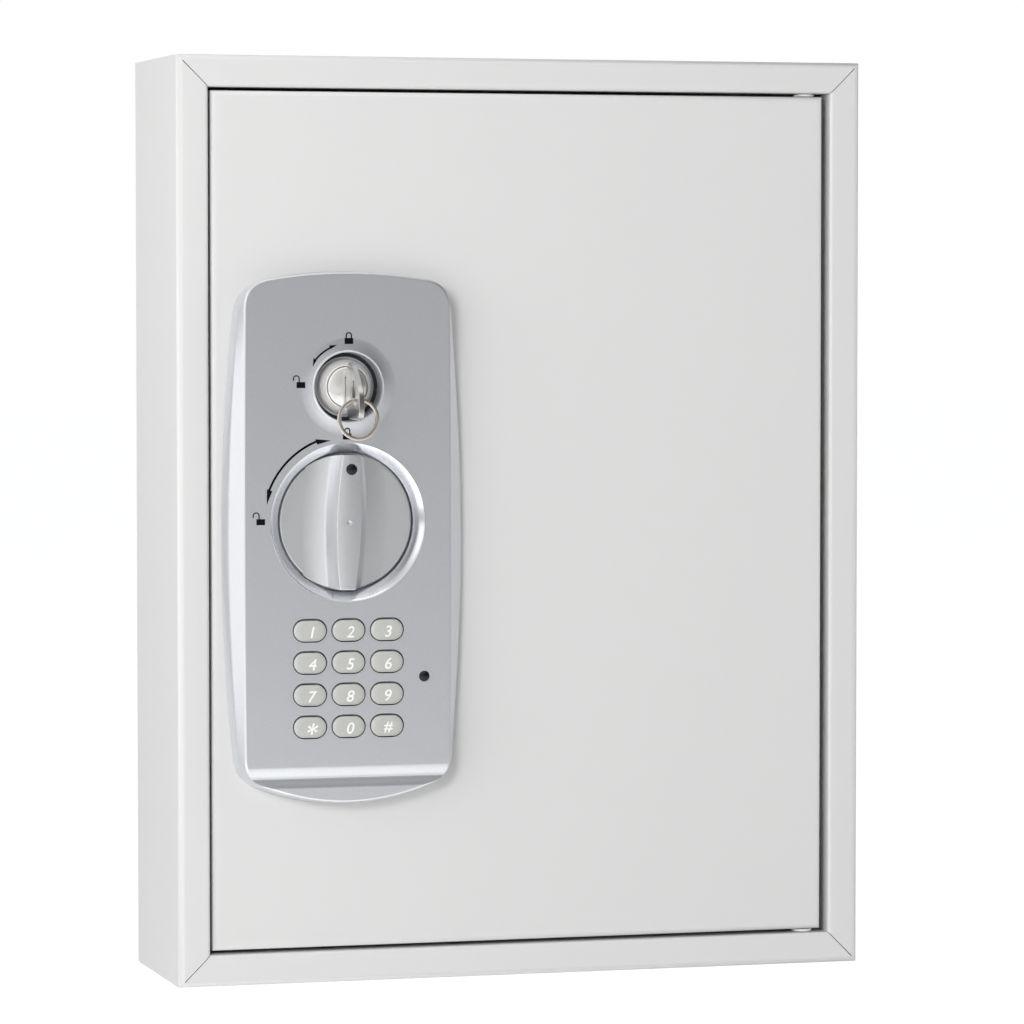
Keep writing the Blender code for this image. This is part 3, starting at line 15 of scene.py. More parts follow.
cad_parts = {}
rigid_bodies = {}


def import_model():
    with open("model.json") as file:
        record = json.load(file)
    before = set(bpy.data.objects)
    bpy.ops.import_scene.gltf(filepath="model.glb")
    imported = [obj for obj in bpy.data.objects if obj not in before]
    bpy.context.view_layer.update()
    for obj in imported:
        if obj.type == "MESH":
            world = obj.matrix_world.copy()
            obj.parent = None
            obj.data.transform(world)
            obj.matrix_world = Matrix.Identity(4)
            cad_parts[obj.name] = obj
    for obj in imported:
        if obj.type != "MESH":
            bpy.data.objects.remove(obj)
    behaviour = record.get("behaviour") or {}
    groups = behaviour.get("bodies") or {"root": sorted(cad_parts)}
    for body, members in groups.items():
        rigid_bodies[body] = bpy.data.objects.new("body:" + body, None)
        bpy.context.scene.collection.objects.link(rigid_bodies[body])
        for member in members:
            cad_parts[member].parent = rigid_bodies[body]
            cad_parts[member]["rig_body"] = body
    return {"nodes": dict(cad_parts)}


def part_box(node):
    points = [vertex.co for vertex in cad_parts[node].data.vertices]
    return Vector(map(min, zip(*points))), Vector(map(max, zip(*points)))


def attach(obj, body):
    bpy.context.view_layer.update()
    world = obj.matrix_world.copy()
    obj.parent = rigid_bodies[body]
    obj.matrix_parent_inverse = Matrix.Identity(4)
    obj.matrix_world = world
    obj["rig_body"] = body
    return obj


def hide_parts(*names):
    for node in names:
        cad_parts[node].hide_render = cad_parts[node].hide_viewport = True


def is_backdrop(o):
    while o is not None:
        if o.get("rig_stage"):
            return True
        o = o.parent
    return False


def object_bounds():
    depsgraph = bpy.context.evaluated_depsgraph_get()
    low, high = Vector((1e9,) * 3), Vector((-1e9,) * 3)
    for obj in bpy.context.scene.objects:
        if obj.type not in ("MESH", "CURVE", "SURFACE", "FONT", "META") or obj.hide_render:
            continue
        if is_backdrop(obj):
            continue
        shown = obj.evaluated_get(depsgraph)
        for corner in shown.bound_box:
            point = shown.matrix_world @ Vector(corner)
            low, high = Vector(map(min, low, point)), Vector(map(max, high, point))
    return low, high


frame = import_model()
cad_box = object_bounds()
mm = 0.001

# %% [markdown]
# ## Camera
# The camera's place, turn and lens come from the corners of the case and of its opening, whose sizes
# the CAD model gives. It stands a little to the left and above, and looks 16 degrees to the right. A
# long lens keeps the upright edges nearly parallel, as in a product photograph.

# %% Camera
camera_data = bpy.data.cameras.new("camera")
sensor_wide = 36
focal_length_in_pixels = 4854.7
picture_wide_in_pixels = 1024
camera_data.sensor_width = sensor_wide
camera_data.lens = focal_length_in_pixels / picture_wide_in_pixels * sensor_wide
camera_data.clip_start = 0.1
camera_data.clip_end = 50
camera = bpy.data.objects.new("camera", camera_data)
bpy.context.scene.collection.objects.link(camera)
camera.location = (-0.5111, -1.8583, 0.0872)
camera.rotation_euler = (math.radians(90 - 2.62), 0, math.radians(-15.88))
bpy.context.scene.camera = camera
print("camera lens:", round(camera_data.lens, 1), "mm")

# %% [markdown]
# ## Studio
# Two large soft boxes stand at the sides and one hangs above. A small lamp at the upper left gives the
# plate its soft shadow. Metal mirrors none of those at the sides, but a plain room: white, brighter at
# the far left, dim at the right, and with a soft grey patch ahead of the front, because the flat front
# of the cast plate is grey in the photograph. As a light the room is even and much weaker, and to the
# camera it is plain white. The floor shines as brightly as the background where nothing shades it, and
# only in metal does it grow darker with distance.

# %% Lights, room and floor
scene = bpy.context.scene
scene.view_settings.view_transform = "Standard"


def soft_box(name, place, aim, width, height, power):
    """A rectangular area lamp that looks from its place to the point aim."""
    lamp = bpy.data.lights.new(name, "AREA")
    lamp.shape = "RECTANGLE"
    lamp.size = width
    lamp.size_y = height
    lamp.energy = power
    holder = bpy.data.objects.new(name, lamp)
    scene.collection.objects.link(holder)
    holder.location = place
    holder.rotation_euler = (Vector(aim) - Vector(place)).to_track_quat("-Z", "Y").to_euler()
    return holder


left_box = soft_box("soft_box_left", (-1.04, -0.62, 0.08), (-0.02, -0.05, 0), 1.5, 1.8, 15)
key_lamp = soft_box("key_lamp", (-0.68, -1.15, 0.34), (0, -0.08, 0), 0.3, 0.3, 5.4)
right_box = soft_box("soft_box_right", (1.05, -0.5, 0.05), (0, 0, 0), 0.8, 1.8, 6.5)
for lamp in (left_box, key_lamp, right_box):
    lamp.visible_glossy = False
soft_box("soft_box_top", (0, -0.9, 2.0), (0, 0, 0), 1.6, 1.0, 2.5)


def either(tree, *outputs):
    """The largest of several 0 or 1 outputs, so 1 where any of them is."""
    result = outputs[0]
    for output in outputs[1:]:
        larger = tree.nodes.new("ShaderNodeMath")
        larger.operation = "MAXIMUM"
        tree.links.new(result, larger.inputs[0])
        tree.links.new(output, larger.inputs[1])
        result = larger.outputs[0]
    return result


def faded(tree, value, start, end, first, last):
    """Goes softly from first to last while the value goes from start to end."""
    fade = tree.nodes.new("ShaderNodeMapRange")
    fade.interpolation_type = "SMOOTHSTEP"
    for socket, amount in (("From Min", start), ("From Max", end), ("To Min", first), ("To Max", last)):
        fade.inputs[socket].default_value = amount
    tree.links.new(value, fade.inputs["Value"])
    return fade.outputs["Result"]


def product(tree, first, second):
    """One output times another."""
    times = tree.nodes.new("ShaderNodeMath")
    times.operation = "MULTIPLY"
    tree.links.new(first, times.inputs[0])
    tree.links.new(second, times.inputs[1])
    return times.outputs[0]


world = bpy.data.worlds.new("studio_world")
scene.world = world
world.use_nodes = True
tree = world.node_tree
tree.nodes.clear()
out = tree.nodes.new("ShaderNodeOutputWorld")
backdrop, lit, mirrored = (tree.nodes.new("ShaderNodeBackground") for _ in range(3))
backdrop.inputs["Color"].default_value = (1, 1, 1, 1)
lit.inputs["Color"].default_value = (0.97, 0.98, 1, 1)
lit.inputs["Strength"].default_value = 0.25
room = tree.nodes.new("ShaderNodeTexCoord").outputs["Generated"]
ahead = tree.nodes.new("ShaderNodeVectorMath")
ahead.operation = "DOT_PRODUCT"
ahead.inputs[1].default_value = Vector((0.36, -0.86, 0.12)).normalized()
aside = tree.nodes.new("ShaderNodeSeparateXYZ")
tree.links.new(room, ahead.inputs[0])
tree.links.new(room, aside.inputs[0])
patch = faded(tree, ahead.outputs["Value"], 0.72, 0.95, 1.0, 0.2)
darker_right = faded(tree, aside.outputs["X"], 0.3, 0.55, 1.0, 0.12)
brighter_left = faded(tree, aside.outputs["X"], -0.62, -0.94, 1.0, 1.8)
strength = product(tree, product(tree, patch, darker_right), brighter_left)
tree.links.new(strength, mirrored.inputs["Strength"])
path = tree.nodes.new("ShaderNodeLightPath")
in_metal = tree.nodes.new("ShaderNodeMixShader")
tree.links.new(path.outputs["Is Glossy Ray"], in_metal.inputs["Fac"])
tree.links.new(lit.outputs[0], in_metal.inputs[1])
tree.links.new(mirrored.outputs[0], in_metal.inputs[2])
seen = tree.nodes.new("ShaderNodeMixShader")
plain = either(tree, path.outputs["Is Camera Ray"], path.outputs["Is Transmission Ray"])
tree.links.new(plain, seen.inputs["Fac"])
tree.links.new(in_metal.outputs[0], seen.inputs[1])
tree.links.new(backdrop.outputs[0], seen.inputs[2])
tree.links.new(seen.outputs[0], out.inputs["Surface"])

bpy.ops.object.select_all(action="DESELECT")
bpy.ops.mesh.primitive_plane_add(size=30, location=(0, 0, -0.32))
floor = bpy.context.object
floor.name = "floor"
floor_paint = bpy.data.materials.new("floor_paint")
floor_paint.use_nodes = True
tree = floor_paint.node_tree
floor_shader = tree.nodes["Principled BSDF"]
floor_shader.inputs["Roughness"].default_value = 0.9
floor_shader.inputs["Specular IOR Level"].default_value = 0
floor_shader.inputs["Emission Color"].default_value = (1, 1, 1, 1)
path = tree.nodes.new("ShaderNodeLightPath")
shown_to = ("Is Camera Ray", "Is Glossy Ray", "Is Transmission Ray")
shown = either(tree, *(path.outputs[ray] for ray in shown_to))
away = tree.nodes.new("ShaderNodeVectorMath")
away.operation = "DISTANCE"
away.inputs[1].default_value = (-0.7, -0.3, 0)
tree.links.new(tree.nodes.new("ShaderNodeTexCoord").outputs["Object"], away.inputs[0])
share = tree.nodes.new("ShaderNodeMix")
share.inputs["A"].default_value = 1
tree.links.new(path.outputs["Is Glossy Ray"], share.inputs["Factor"])
tree.links.new(faded(tree, away.outputs["Value"], 0.4, 1.3, 1.0, 0.55), share.inputs["B"])
shade = tree.nodes.new("ShaderNodeVectorMath")
shade.operation = "SCALE"
shade.inputs[0].default_value = (0.88, 0.88, 0.88)
tree.links.new(share.outputs["Result"], shade.inputs["Scale"])
tree.links.new(shade.outputs["Vector"], floor_shader.inputs["Base Color"])
glow = tree.nodes.new("ShaderNodeMath")
glow.operation = "MULTIPLY"
glow.inputs[1].default_value = 0.78
tree.links.new(share.outputs["Result"], glow.inputs[0])
tree.links.new(product(tree, shown, glow.outputs[0]), floor_shader.inputs["Emission Strength"])
floor.data.materials.append(floor_paint)
floor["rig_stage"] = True


# %% [markdown]
# ## Finishes
# Every finish is procedural. The grain of a finish is a noise on Object coordinates, so it is fixed to
# the metal and has a real size: powder paint has soft dimples a millimetre apart, a cast and painted
# plate has finer ones, and plated steel has faint streaks from rolling. One helper makes the plain ones.

# %% Finish helper
def finish(name, colour, roughness, metallic=0.0, grain=900, depth=0.0, speckle=0.0,
           stretch=(1, 1, 1), **sockets):
    """A Principled material whose grain is a noise of that many dimples to the metre."""
    made = bpy.data.materials.new(name)
    made.use_nodes = True
    tree = made.node_tree
    shader = tree.nodes["Principled BSDF"]
    shader.inputs["Base Color"].default_value = (*colour, 1)
    shader.inputs["Roughness"].default_value = roughness
    shader.inputs["Metallic"].default_value = metallic
    for socket, value in sockets.items():
        shader.inputs[socket.replace("_", " ")].default_value = value
    place = tree.nodes.new("ShaderNodeTexCoord")
    turn = tree.nodes.new("ShaderNodeMapping")
    turn.inputs["Scale"].default_value = stretch
    noise = tree.nodes.new("ShaderNodeTexNoise")
    noise.inputs["Scale"].default_value = grain
    noise.inputs["Detail"].default_value = 2
    tree.links.new(place.outputs["Object"], turn.inputs["Vector"])
    tree.links.new(turn.outputs["Vector"], noise.inputs["Vector"])
    if depth:
        bump = tree.nodes.new("ShaderNodeBump")
        bump.inputs["Strength"].default_value = 1
        bump.inputs["Distance"].default_value = depth
        tree.links.new(noise.outputs["Fac"], bump.inputs["Height"])
        tree.links.new(bump.outputs["Normal"], shader.inputs["Normal"])
    if speckle:
        tone = tree.nodes.new("ShaderNodeMapRange")
        tone.inputs["From Min"].default_value = 0.3
        tone.inputs["From Max"].default_value = 0.7
        tone.inputs["To Min"].default_value = 1 - speckle
        tone.inputs["To Max"].default_value = 1 + speckle
        mixed = tree.nodes.new("ShaderNodeVectorMath")
        mixed.operation = "SCALE"
        mixed.inputs[0].default_value = colour
        tree.links.new(noise.outputs["Fac"], tone.inputs["Value"])
        tree.links.new(tone.outputs["Result"], mixed.inputs["Scale"])
        tree.links.new(mixed.outputs["Vector"], shader.inputs["Base Color"])
    return made


# %% [markdown]
# The paint is a light grey powder coat with a soft gloss. The plate is cast metal under a silver paint,
# so it is mostly metallic and half rough: its flat front mirrors the grey patch of the room, and its
# slopes the brighter parts beside it. Chrome, nickel, zinc, rubber and plastics follow.

# %% Finishes
powder = finish("powder_grey", (0.716, 0.714, 0.708), 0.40, grain=700, depth=0.00001)
silver = finish("silver_paint", (0.76, 0.775, 0.80), 0.36, metallic=0.85, grain=2600, depth=0.000004,
                speckle=0.04)
knob_satin = finish("knob_satin", (0.71, 0.72, 0.735), 0.40, metallic=0.8, grain=2600, depth=0.000003,
                    speckle=0.03)
bright_ring = finish("bright_ring", (0.80, 0.81, 0.84), 0.20, metallic=1.0)
collar_satin = finish("collar_satin", (0.80, 0.81, 0.84), 0.28, metallic=0.6)
# The near-black ring at the bottom of the key lock's well is painted shade.
well_shade_finish = finish("painted_well_shade", (0.018, 0.021, 0.026), 0.45, metallic=0.3)
head_satin = finish("lock_head", (0.90, 0.89, 0.87), 0.20, metallic=0.5)
plug_satin = finish("plug_face", (0.93, 0.92, 0.90), 0.15, metallic=0.6)
chrome = finish("chrome", (0.83, 0.83, 0.85), 0.05, metallic=1.0)
key_nickel = finish("key_nickel", (0.56, 0.555, 0.54), 0.25, metallic=1.0, grain=900, depth=0.000002)
wire_gold = finish("ring_wire", (0.80, 0.745, 0.67), 0.20, metallic=1.0)
zinc = finish("zinc_plate", (0.56, 0.57, 0.58), 0.36, metallic=1.0, grain=500, speckle=0.06,
              stretch=(1, 1, 0.15))
nylon = finish("white_nylon", (0.82, 0.82, 0.79), 0.48)
rubber = finish("black_rubber", (0.022, 0.022, 0.023), 0.75, grain=1500, depth=0.00002)
black_plastic = finish("black_plastic", (0.030, 0.030, 0.033), 0.42, grain=2200, depth=0.00001)
caps = finish("warm_grey_caps", (0.51, 0.515, 0.49), 0.38, grain=2600, depth=0.000003)
board_green = finish("circuit_board", (0.02, 0.16, 0.07), 0.42, grain=300, speckle=0.12)
lamp_smoke = finish("smoked_lamp", (0.008, 0.008, 0.014), 0.16, Specular_IOR_Level=0.35)
cell_wrap = finish("battery_wrap", (0.05, 0.07, 0.18), 0.28)
ink_black = finish("black_ink", (0.004, 0.004, 0.005), 0.6, Specular_IOR_Level=0.1)
ink_white = finish("white_ink", (0.93, 0.93, 0.92), 0.45)

node_finish = {
    "case_shell": powder, "door_panel": powder, "stop_bracket_top": powder,
    "stop_bracket_bottom": powder,
    "lock_housing": silver, "knob_ring": bright_ring, "knob": knob_satin, "keylock_collar": bright_ring,
    "lock_cylinder": chrome, "lock_plug": chrome, "emergency_key": key_nickel, "key_ring": wire_gold,
    "hinge_washer_top": nylon, "hinge_washer_bottom": nylon, "door_buffer_top": rubber,
    "door_buffer_bottom": rubber, "keypad_membrane": rubber, "knob_marker": lamp_smoke,
    "solenoid": black_plastic,
    "battery_box": black_plastic, "battery_lid": black_plastic, "lock_cable": rubber,
    "keypad_board": board_green, "status_lamp": lamp_smoke,
}
for node, part in frame["nodes"].items():
    look = node_finish.get(node, zinc)
    if node.startswith("button_"):
        look = caps
    if node.startswith("battery_") and node[-1].isdigit():
        look = cell_wrap
    part.data.materials.clear()
    part.data.materials.append(look)
print("finished nodes:", len(frame["nodes"]))

# %% [markdown]
# ## Places on the lock
# The lock's middle line and the planes of its parts are read off the CAD nodes where they can be, so
# the new pieces line up with the fixed ones. All sizes below are in millimetres. One helper turns points
# into a mesh in metres, and another hands the finished mesh to the frame.

# %% Places and helpers
knob_low, knob_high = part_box("knob_ring")
lock_x = (knob_low.x + knob_high.x) / 2 / mm
plate_low, plate_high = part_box("lock_housing")
plate_back = plate_high.y / mm
face_y = plate_low.y / mm
key_low, key_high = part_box("keylock_collar")
key_z = (key_low.z + key_high.z) / 2 / mm
print("lock middle x", round(lock_x, 2), " key lock z", round(key_z, 2))
print("plate from", round(plate_back, 2), "to", round(face_y, 2))


def alone(piece):
    """Selects this piece and nothing else, and makes it the active one."""
    bpy.ops.object.select_all(action="DESELECT")
    piece.select_set(True)
    bpy.context.view_layer.objects.active = piece
    return piece


@contextlib.contextmanager
def all_of(piece):
    """Edit mode with all of a piece selected, and object mode again afterwards."""
    alone(piece)
    bpy.ops.object.mode_set(mode="EDIT")
    bpy.ops.mesh.select_all(action="SELECT")
    yield
    bpy.ops.object.mode_set(mode="OBJECT")


def drawn(name, points, edges=(), faces=()):
    """A new mesh object from points in millimetres, alone and selected."""
    mesh = bpy.data.meshes.new(name)
    mesh.from_pydata([Vector(p) * mm for p in points], edges, faces)
    piece = bpy.data.objects.new(name, mesh)
    scene.collection.objects.link(piece)
    return alone(piece)


def tidied(piece, smooth_angle=35, merge=0.002):
    """Merges doubled points, turns the faces outwards and smooths all but the sharp edges."""
    with all_of(piece):
        bpy.ops.mesh.remove_doubles(threshold=merge * mm)
        bpy.ops.mesh.normals_make_consistent(inside=False)
    bpy.ops.object.shade_smooth_by_angle(angle=math.radians(smooth_angle))
    return piece


def evened(piece):
    """Gives the flats of a smooth piece their own normals, so that only its bends look bent."""
    even = piece.modifiers.new("even", "WEIGHTED_NORMAL")
    even.keep_sharp = True
    even.weight = 100
    alone(piece)
    bpy.ops.object.modifier_apply(modifier="even")
    return piece


def spun(name, profile, centre, steps=96, smooth_angle=35):
    """A turned form: a profile of (radius, depth) spun about a line that runs front to back."""
    points = [(centre[0] + r, y, centre[1]) for r, y in profile]
    piece = drawn(name, points, [(i, i + 1) for i in range(len(points) - 1)])
    middle = (centre[0] * mm, 0, centre[1] * mm)
    with all_of(piece):
        bpy.ops.mesh.spin(steps=steps, angle=math.tau, center=middle, axis=(0, 1, 0))
    return tidied(piece, smooth_angle)


def carved(piece, cutter):
    """Cuts one piece with another by a Boolean, applies it and removes the cutter."""
    alone(piece)
    cut = piece.modifiers.new("cut", "BOOLEAN")
    cut.operation = "DIFFERENCE"
    cut.solver = "EXACT"
    cut.object = cutter
    bpy.ops.object.modifier_apply(modifier=cut.name)
    bpy.data.objects.remove(cutter)
    return piece


def joined(first, *others):
    """Makes several meshes one piece."""
    alone(first)
    for other in others:
        other.select_set(True)
    bpy.ops.object.join()
    return first


def placed(piece, look, body, slot, *stands_for):
    """Gives a finished mesh its look and its body, and hides the CAD nodes that it stands for. The slot is
    not used.
    """
    alone(piece)
    bpy.ops.object.transform_apply(location=True, rotation=True, scale=True)
    piece.data.materials.clear()
    piece.data.materials.append(look)
    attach(piece, body)
    if stands_for:
        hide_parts(*stands_for)
    print(f"{piece.name}: {len(piece.data.polygons)} faces on {body}")
    return piece


def copied(piece, name, shift=(0, 0, 0)):
    """A copy with its own mesh, moved in millimetres."""
    copy = bpy.data.objects.new(name, piece.data.copy())
    scene.collection.objects.link(copy)
    copy.data.transform(Matrix.Translation(Vector(shift) * mm))
    return copy


def softened_edge(piece, width, segments=3, angle=50):
    """A bevel of this width on every edge sharper than the angle."""
    edge = piece.modifiers.new("edge", "BEVEL")
    edge.width = width * mm
    edge.segments = segments
    edge.limit_method = "ANGLE"
    edge.angle_limit = math.radians(angle)
    alone(piece)
    bpy.ops.object.modifier_apply(modifier="edge")
    return piece


def pulled(piece, move):
    """Extrudes all of a flat mesh by a move in millimetres."""
    with all_of(piece):
        bpy.ops.mesh.extrude_region_move(TRANSFORM_OT_translate={"value": Vector(move) * mm})
    return piece


def arc_points(centre, radius, start, end, steps):
    """Points on a circle between two angles in degrees, both ends included."""
    turns = [math.radians(start + (end - start) * i / steps) for i in range(steps + 1)]
    return [(centre[0] + radius * math.cos(t), centre[1] + radius * math.sin(t)) for t in turns]


def slab(name, outline, front, back):
    """A flat form: an outline of (x, z) filled and extruded from one depth to another."""
    piece = drawn(name, [(x, front, z) for x, z in outline], faces=[list(range(len(outline)))])
    return tidied(pulled(piece, (0, back - front, 0)), merge=0.0005)

# %% [markdown]
# ## The lock plate
# The plate is one casting. Its face has straight sides, and its foot bows out, so the flank between
# them is wide at mid height and narrow at the corners. A loft does this well: the same number of
# points runs round every level, from the foot over a soft ridge to the rounded edge of the face, and
# bridging joins the levels. A polygon model made by hand would need the same loops.

# %% Outline of the plate
def plate_outline(half_mid, half_end, top, bottom, top_rise, bottom_rise, corners=(10, 8), steps=12):
    """Half the outline is worked out from the bottom to the top, and then mirrored."""
    middle, half_height = (top - bottom) / 2, (top + bottom) / 2

    def side(z):
        return half_end + (half_mid - half_end) * (1 - ((z - middle) / half_height) ** 2)

    def rounded_corner(first, control, last):
        """The points of a soft corner, without its two ends."""
        corner = []
        for i in range(1, steps):
            t = i / steps
            pairs = zip(first, control, last)
            corner.append(tuple((1 - t) ** 2 * a + 2 * t * (1 - t) * b + t * t * c for a, b, c in pairs))
        return corner

    top_control = (side(top - top_rise), top - top_rise)
    low_control = (side(bottom_rise - bottom), bottom_rise - bottom)
    top_corner, low_corner = corners
    low, high = low_control[1] + low_corner, top_control[1] - top_corner
    heights = [low + (high - low) * i / (4 * steps) for i in range(4 * steps + 1)]
    flank = [(side(z), z) for z in heights]
    reach_low, reach_top = low_control[0] - low_corner, top_control[0] - top_corner
    lows = [reach_low * i / (2 * steps) for i in range(2 * steps + 1)]
    across_low = [(x, bottom_rise * (x / half_end) ** 2 - bottom) for x in lows]
    tops = [reach_top * (1 - i / (2 * steps)) for i in range(2 * steps + 1)]
    across_top = [(x, top - top_rise * (x / half_end) ** 2) for x in tops]
    half = across_low + rounded_corner(across_low[-1], low_control, flank[0]) + flank
    half += rounded_corner(flank[-1], top_control, across_top[0]) + across_top
    return half + [(-x, z) for x, z in reversed(half[1:-1])]


base_outline = plate_outline(46.7, 40.3, 94.1, 106.8, 6.4, 9.5)
face_outline = plate_outline(40.3, 39.7, 93.8, 105.6, 4.4, 9.5, (9, 7))
inner_outline = plate_outline(39.5, 38.9, 93, 104.8, 4.4, 9.5, (8.6, 6.6))


def between(first, second, share):
    """The outline that lies this share of the way from the first to the second."""
    pairs = zip(first, second)
    return [((1 - share) * a[0] + share * b[0], (1 - share) * a[1] + share * b[1]) for a, b in pairs]


# %% Levels of the plate, from the foot to the face
slopes = ((0.02, 0.35), (0.26, 3.75), (0.29, 4.15), (0.33, 4.55), (0.38, 4.95), (0.44, 5.3), (0.80, 7.6))
plate_levels = [(base_outline, 0.0)]
plate_levels += [(between(base_outline, face_outline, share), height) for share, height in slopes]
edge_height, edge_round, widest = 8.94, 0.56, math.radians(45)
plate_levels.append((face_outline, edge_height))
for turn in (15, 30, 45):
    left = math.radians(45 - turn)
    share = 1 - math.sin(left) / math.sin(widest)
    height = edge_height + edge_round * (math.cos(left) - math.cos(widest)) / (1 - math.cos(widest))
    plate_levels.append((between(face_outline, inner_outline, share), height))
around = len(base_outline)
points = [(lock_x + x, plate_back - height, z) for outline, height in plate_levels for x, z in outline]
rings = [[(k * around + i, k * around + (i + 1) % around) for i in range(around)]
         for k in range(len(plate_levels))]
plate = drawn("lock_plate", points, [edge for ring in rings for edge in ring])
with all_of(plate):
    bpy.ops.mesh.bridge_edge_loops()
    bpy.ops.mesh.select_all(action="SELECT")
    bpy.ops.mesh.fill_holes(sides=0)
tidied(plate)
print("plate:", around, "points round,", len(plate_levels), "levels,", len(plate.data.polygons), "faces")

# %% [markdown]
# The finger pull near the bottom is a shallow valley across the face. Its two slopes fade out, and
# they meet in a narrow rounded line. It is cut with a bar of that section, and the knob's well, the
# key lock's well, the slots of the twelve keys and the lamp's hole are cut with plain prisms.

# %% Finger pull, wells and slots
valley_middle, valley_depth = -96.3, 0.95
valley_up, valley_down = 4.6, 3.8
valley = []
for i in range(-24, 25):
    reach = i / 24
    width = valley_up if reach > 0 else valley_down
    steep = 1 - abs(reach)
    sunk = valley_depth * (steep**2 * (3 - 2 * steep) * 0.55 + steep**2 * 0.45)
    sunk -= 0.12 * math.exp(-((reach * 7) ** 2))
    valley.append((face_y + sunk, valley_middle + reach * width))
bar = valley + [(face_y - 4, valley[-1][1]), (face_y - 4, valley[0][1])]
pull = drawn("pull_cutter", [(lock_x - 50, y, z) for y, z in bar], faces=[list(range(len(bar)))])
carved(plate, tidied(pulled(pull, (100, 0, 0)), merge=0.0005))


def slot_outline(centre, length, width, steps=12):
    reach = (length - width) / 2
    right = arc_points((centre[0] + reach, centre[1]), width / 2, -90, 90, steps)
    return right + arc_points((centre[0] - reach, centre[1]), width / 2, 90, 270, steps)


well_floor = plate_back - 2.5
carved(plate, slab("knob_well", arc_points((lock_x, 0), 30.0, 0, 360, 128)[:-1], face_y - 3, well_floor))
carved(plate, slab("key_well", arc_points((lock_x, key_z), 14.2, 0, 360, 96)[:-1], face_y - 3, well_floor))
lamp_low, lamp_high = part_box("status_lamp")
lamp_place = ((lamp_low.x + lamp_high.x) / 2 / mm, (lamp_low.z + lamp_high.z) / 2 / mm)
carved(plate, slab("lamp_hole", arc_points(lamp_place, 2.05, 0, 360, 48)[:-1], face_y - 3, face_y + 3))
key_names = ("1", "2", "3", "4", "5", "6", "7", "8", "9", "star", "0", "hash")
key_places = {}
for name in key_names:
    low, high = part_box(f"button_{name}")
    key_places[name] = ((low.x + high.x) / 2 / mm, (low.z + high.z) / 2 / mm)
    carved(plate, slab("key_slot", slot_outline(key_places[name], 13.3, 9.0), face_y - 3, face_y + 3))
tidied(plate, 30)

# %% [markdown]
# Round the key lock the face swells forward in a soft mound, which catches the light from the left.
# It is a turned skin that starts level with the face and ends at the collar.

# %% Mound round the key lock
mound_wide, mound_hole, mound_rise, mound_sunk = 19.5, 13.95, 0.7, 0.03
mound_profile = []
for i in range(17):
    share = i / 16
    radius = mound_wide - (mound_wide - mound_hole) * share
    mound_profile.append((radius, face_y + mound_sunk - mound_rise * share**2))
mound_profile.append((mound_hole, face_y + 2))
mound_profile += [(mound_wide, face_y + 2), mound_profile[0]]
mound = spun("key_lock_mound", mound_profile, (lock_x, key_z), 96, 50)
placed(evened(plate), silver, "door", "silver_cast_housing", "lock_housing")
placed(mound, silver, "door", "silver_cast_housing")

# %% [markdown]
# ## The dish and the knob
# The knob turns in a bright dish, a plain cone that slopes in from the face. It is turned from a
# profile, with a small round at its outer edge.

# %% Dish
dish_lip = ((29.98, 1.0), (29.98, 0.05), (29.94, -0.1), (29.84, -0.17), (29.7, -0.12))
dish_cone = ((29.0, 0.55), (28.0, 1.5), (27.2, 2.35), (26.6, 3.15), (26.2, 3.9), (26.05, 4.4))
dish_back = ((26.0, 6.9), (29.95, 6.9), (29.95, 1.0))
dish_profile = [(radius, face_y + depth) for radius, depth in dish_lip + dish_cone + dish_back]
dish = spun("knob_dish", dish_profile, (lock_x, 0), 160, 40)
placed(dish, bright_ring, "door", "bright_chrome", "knob_ring")

# %% [markdown]
# The knob is a disc with a bar left standing across it, as if both sides had been milled away by a
# large cutter. The disc is turned. The bar is a grid: its columns run over the concave flank, the
# narrow top and the other flank, and its rows run from end to end and stop on the disc's round rim,
# so that the bar's ends are flush with the disc.

# %% Disc of the knob
disc_front = face_y + 4.3
rim = 25.45
rim_round = 0.55
disc_profile = [(0, disc_front), (rim - 0.9, disc_front), (rim - rim_round, disc_front)]
for t in (0.3, 0.6, 0.9, 1.2, 1.57):
    across = rim - rim_round + rim_round * math.sin(t)
    disc_profile.append((across, disc_front + rim_round - rim_round * math.cos(t)))
disc_profile += [(rim, disc_front + 2.4), (0, disc_front + 2.4)]
disc = spun("turn_knob", disc_profile, (lock_x, 0), 160, 40)

# %% Bar of the knob
bar_rise = 8.7
foot_rise = 1.9
foot_wide = 9.4
wall_wide = 3.0
section = [(wall_wide + foot_wide * (1 - i / 12), foot_rise * (i / 12) ** 2.1) for i in range(13)]
for share in (0.08, 0.18, 0.32, 0.5, 0.7, 0.88, 0.96):
    section.append((wall_wide * (1 - share) ** 1.7, foot_rise + (bar_rise - foot_rise) * share))
flank_steps = section + [(0.02, bar_rise - 0.28), (-0.06, bar_rise - 0.10), (-0.26, bar_rise)]
right_flare = 0.5
columns = [(-1, x, h) for x, h in flank_steps]
columns += [(1, x + right_flare * max(1 - h / 4.6, 0) ** 1.5, h) for x, h in reversed(flank_steps)]
rows = [math.sin(math.radians(a)) for a in range(-90, 91, 5)]
edge_rows = [(1 - 0.34 / rim, 0.0), (1 - 0.10 / rim, 0.10), (1.0, 0.34)]
row_list = [(-share, drop) for share, drop in reversed(edge_rows)]
row_list += [(v * (1 - 0.34 / rim), 0.0) for v in rows[1:-1]]
row_list += edge_rows
grid = []
for v, drop in row_list:
    line = []
    for side, x, h in columns:
        half_top = 3.0 + 1.7 * (1 - v * v)
        across = side * (half_top + x)
        along = v * math.sqrt(rim**2 - across**2)
        line.append((across, disc_front + 0.02 - max(h - drop, 0), along))
    grid.append(line)
for end, first in ((0, True), (-1, False)):
    wall = [(x, disc_front + 1.9, z) for x, _, z in grid[end]]
    if first:
        grid.insert(0, wall)
    else:
        grid.append(wall)
tilt = Matrix.Rotation(math.radians(1.5), 3, "Y")
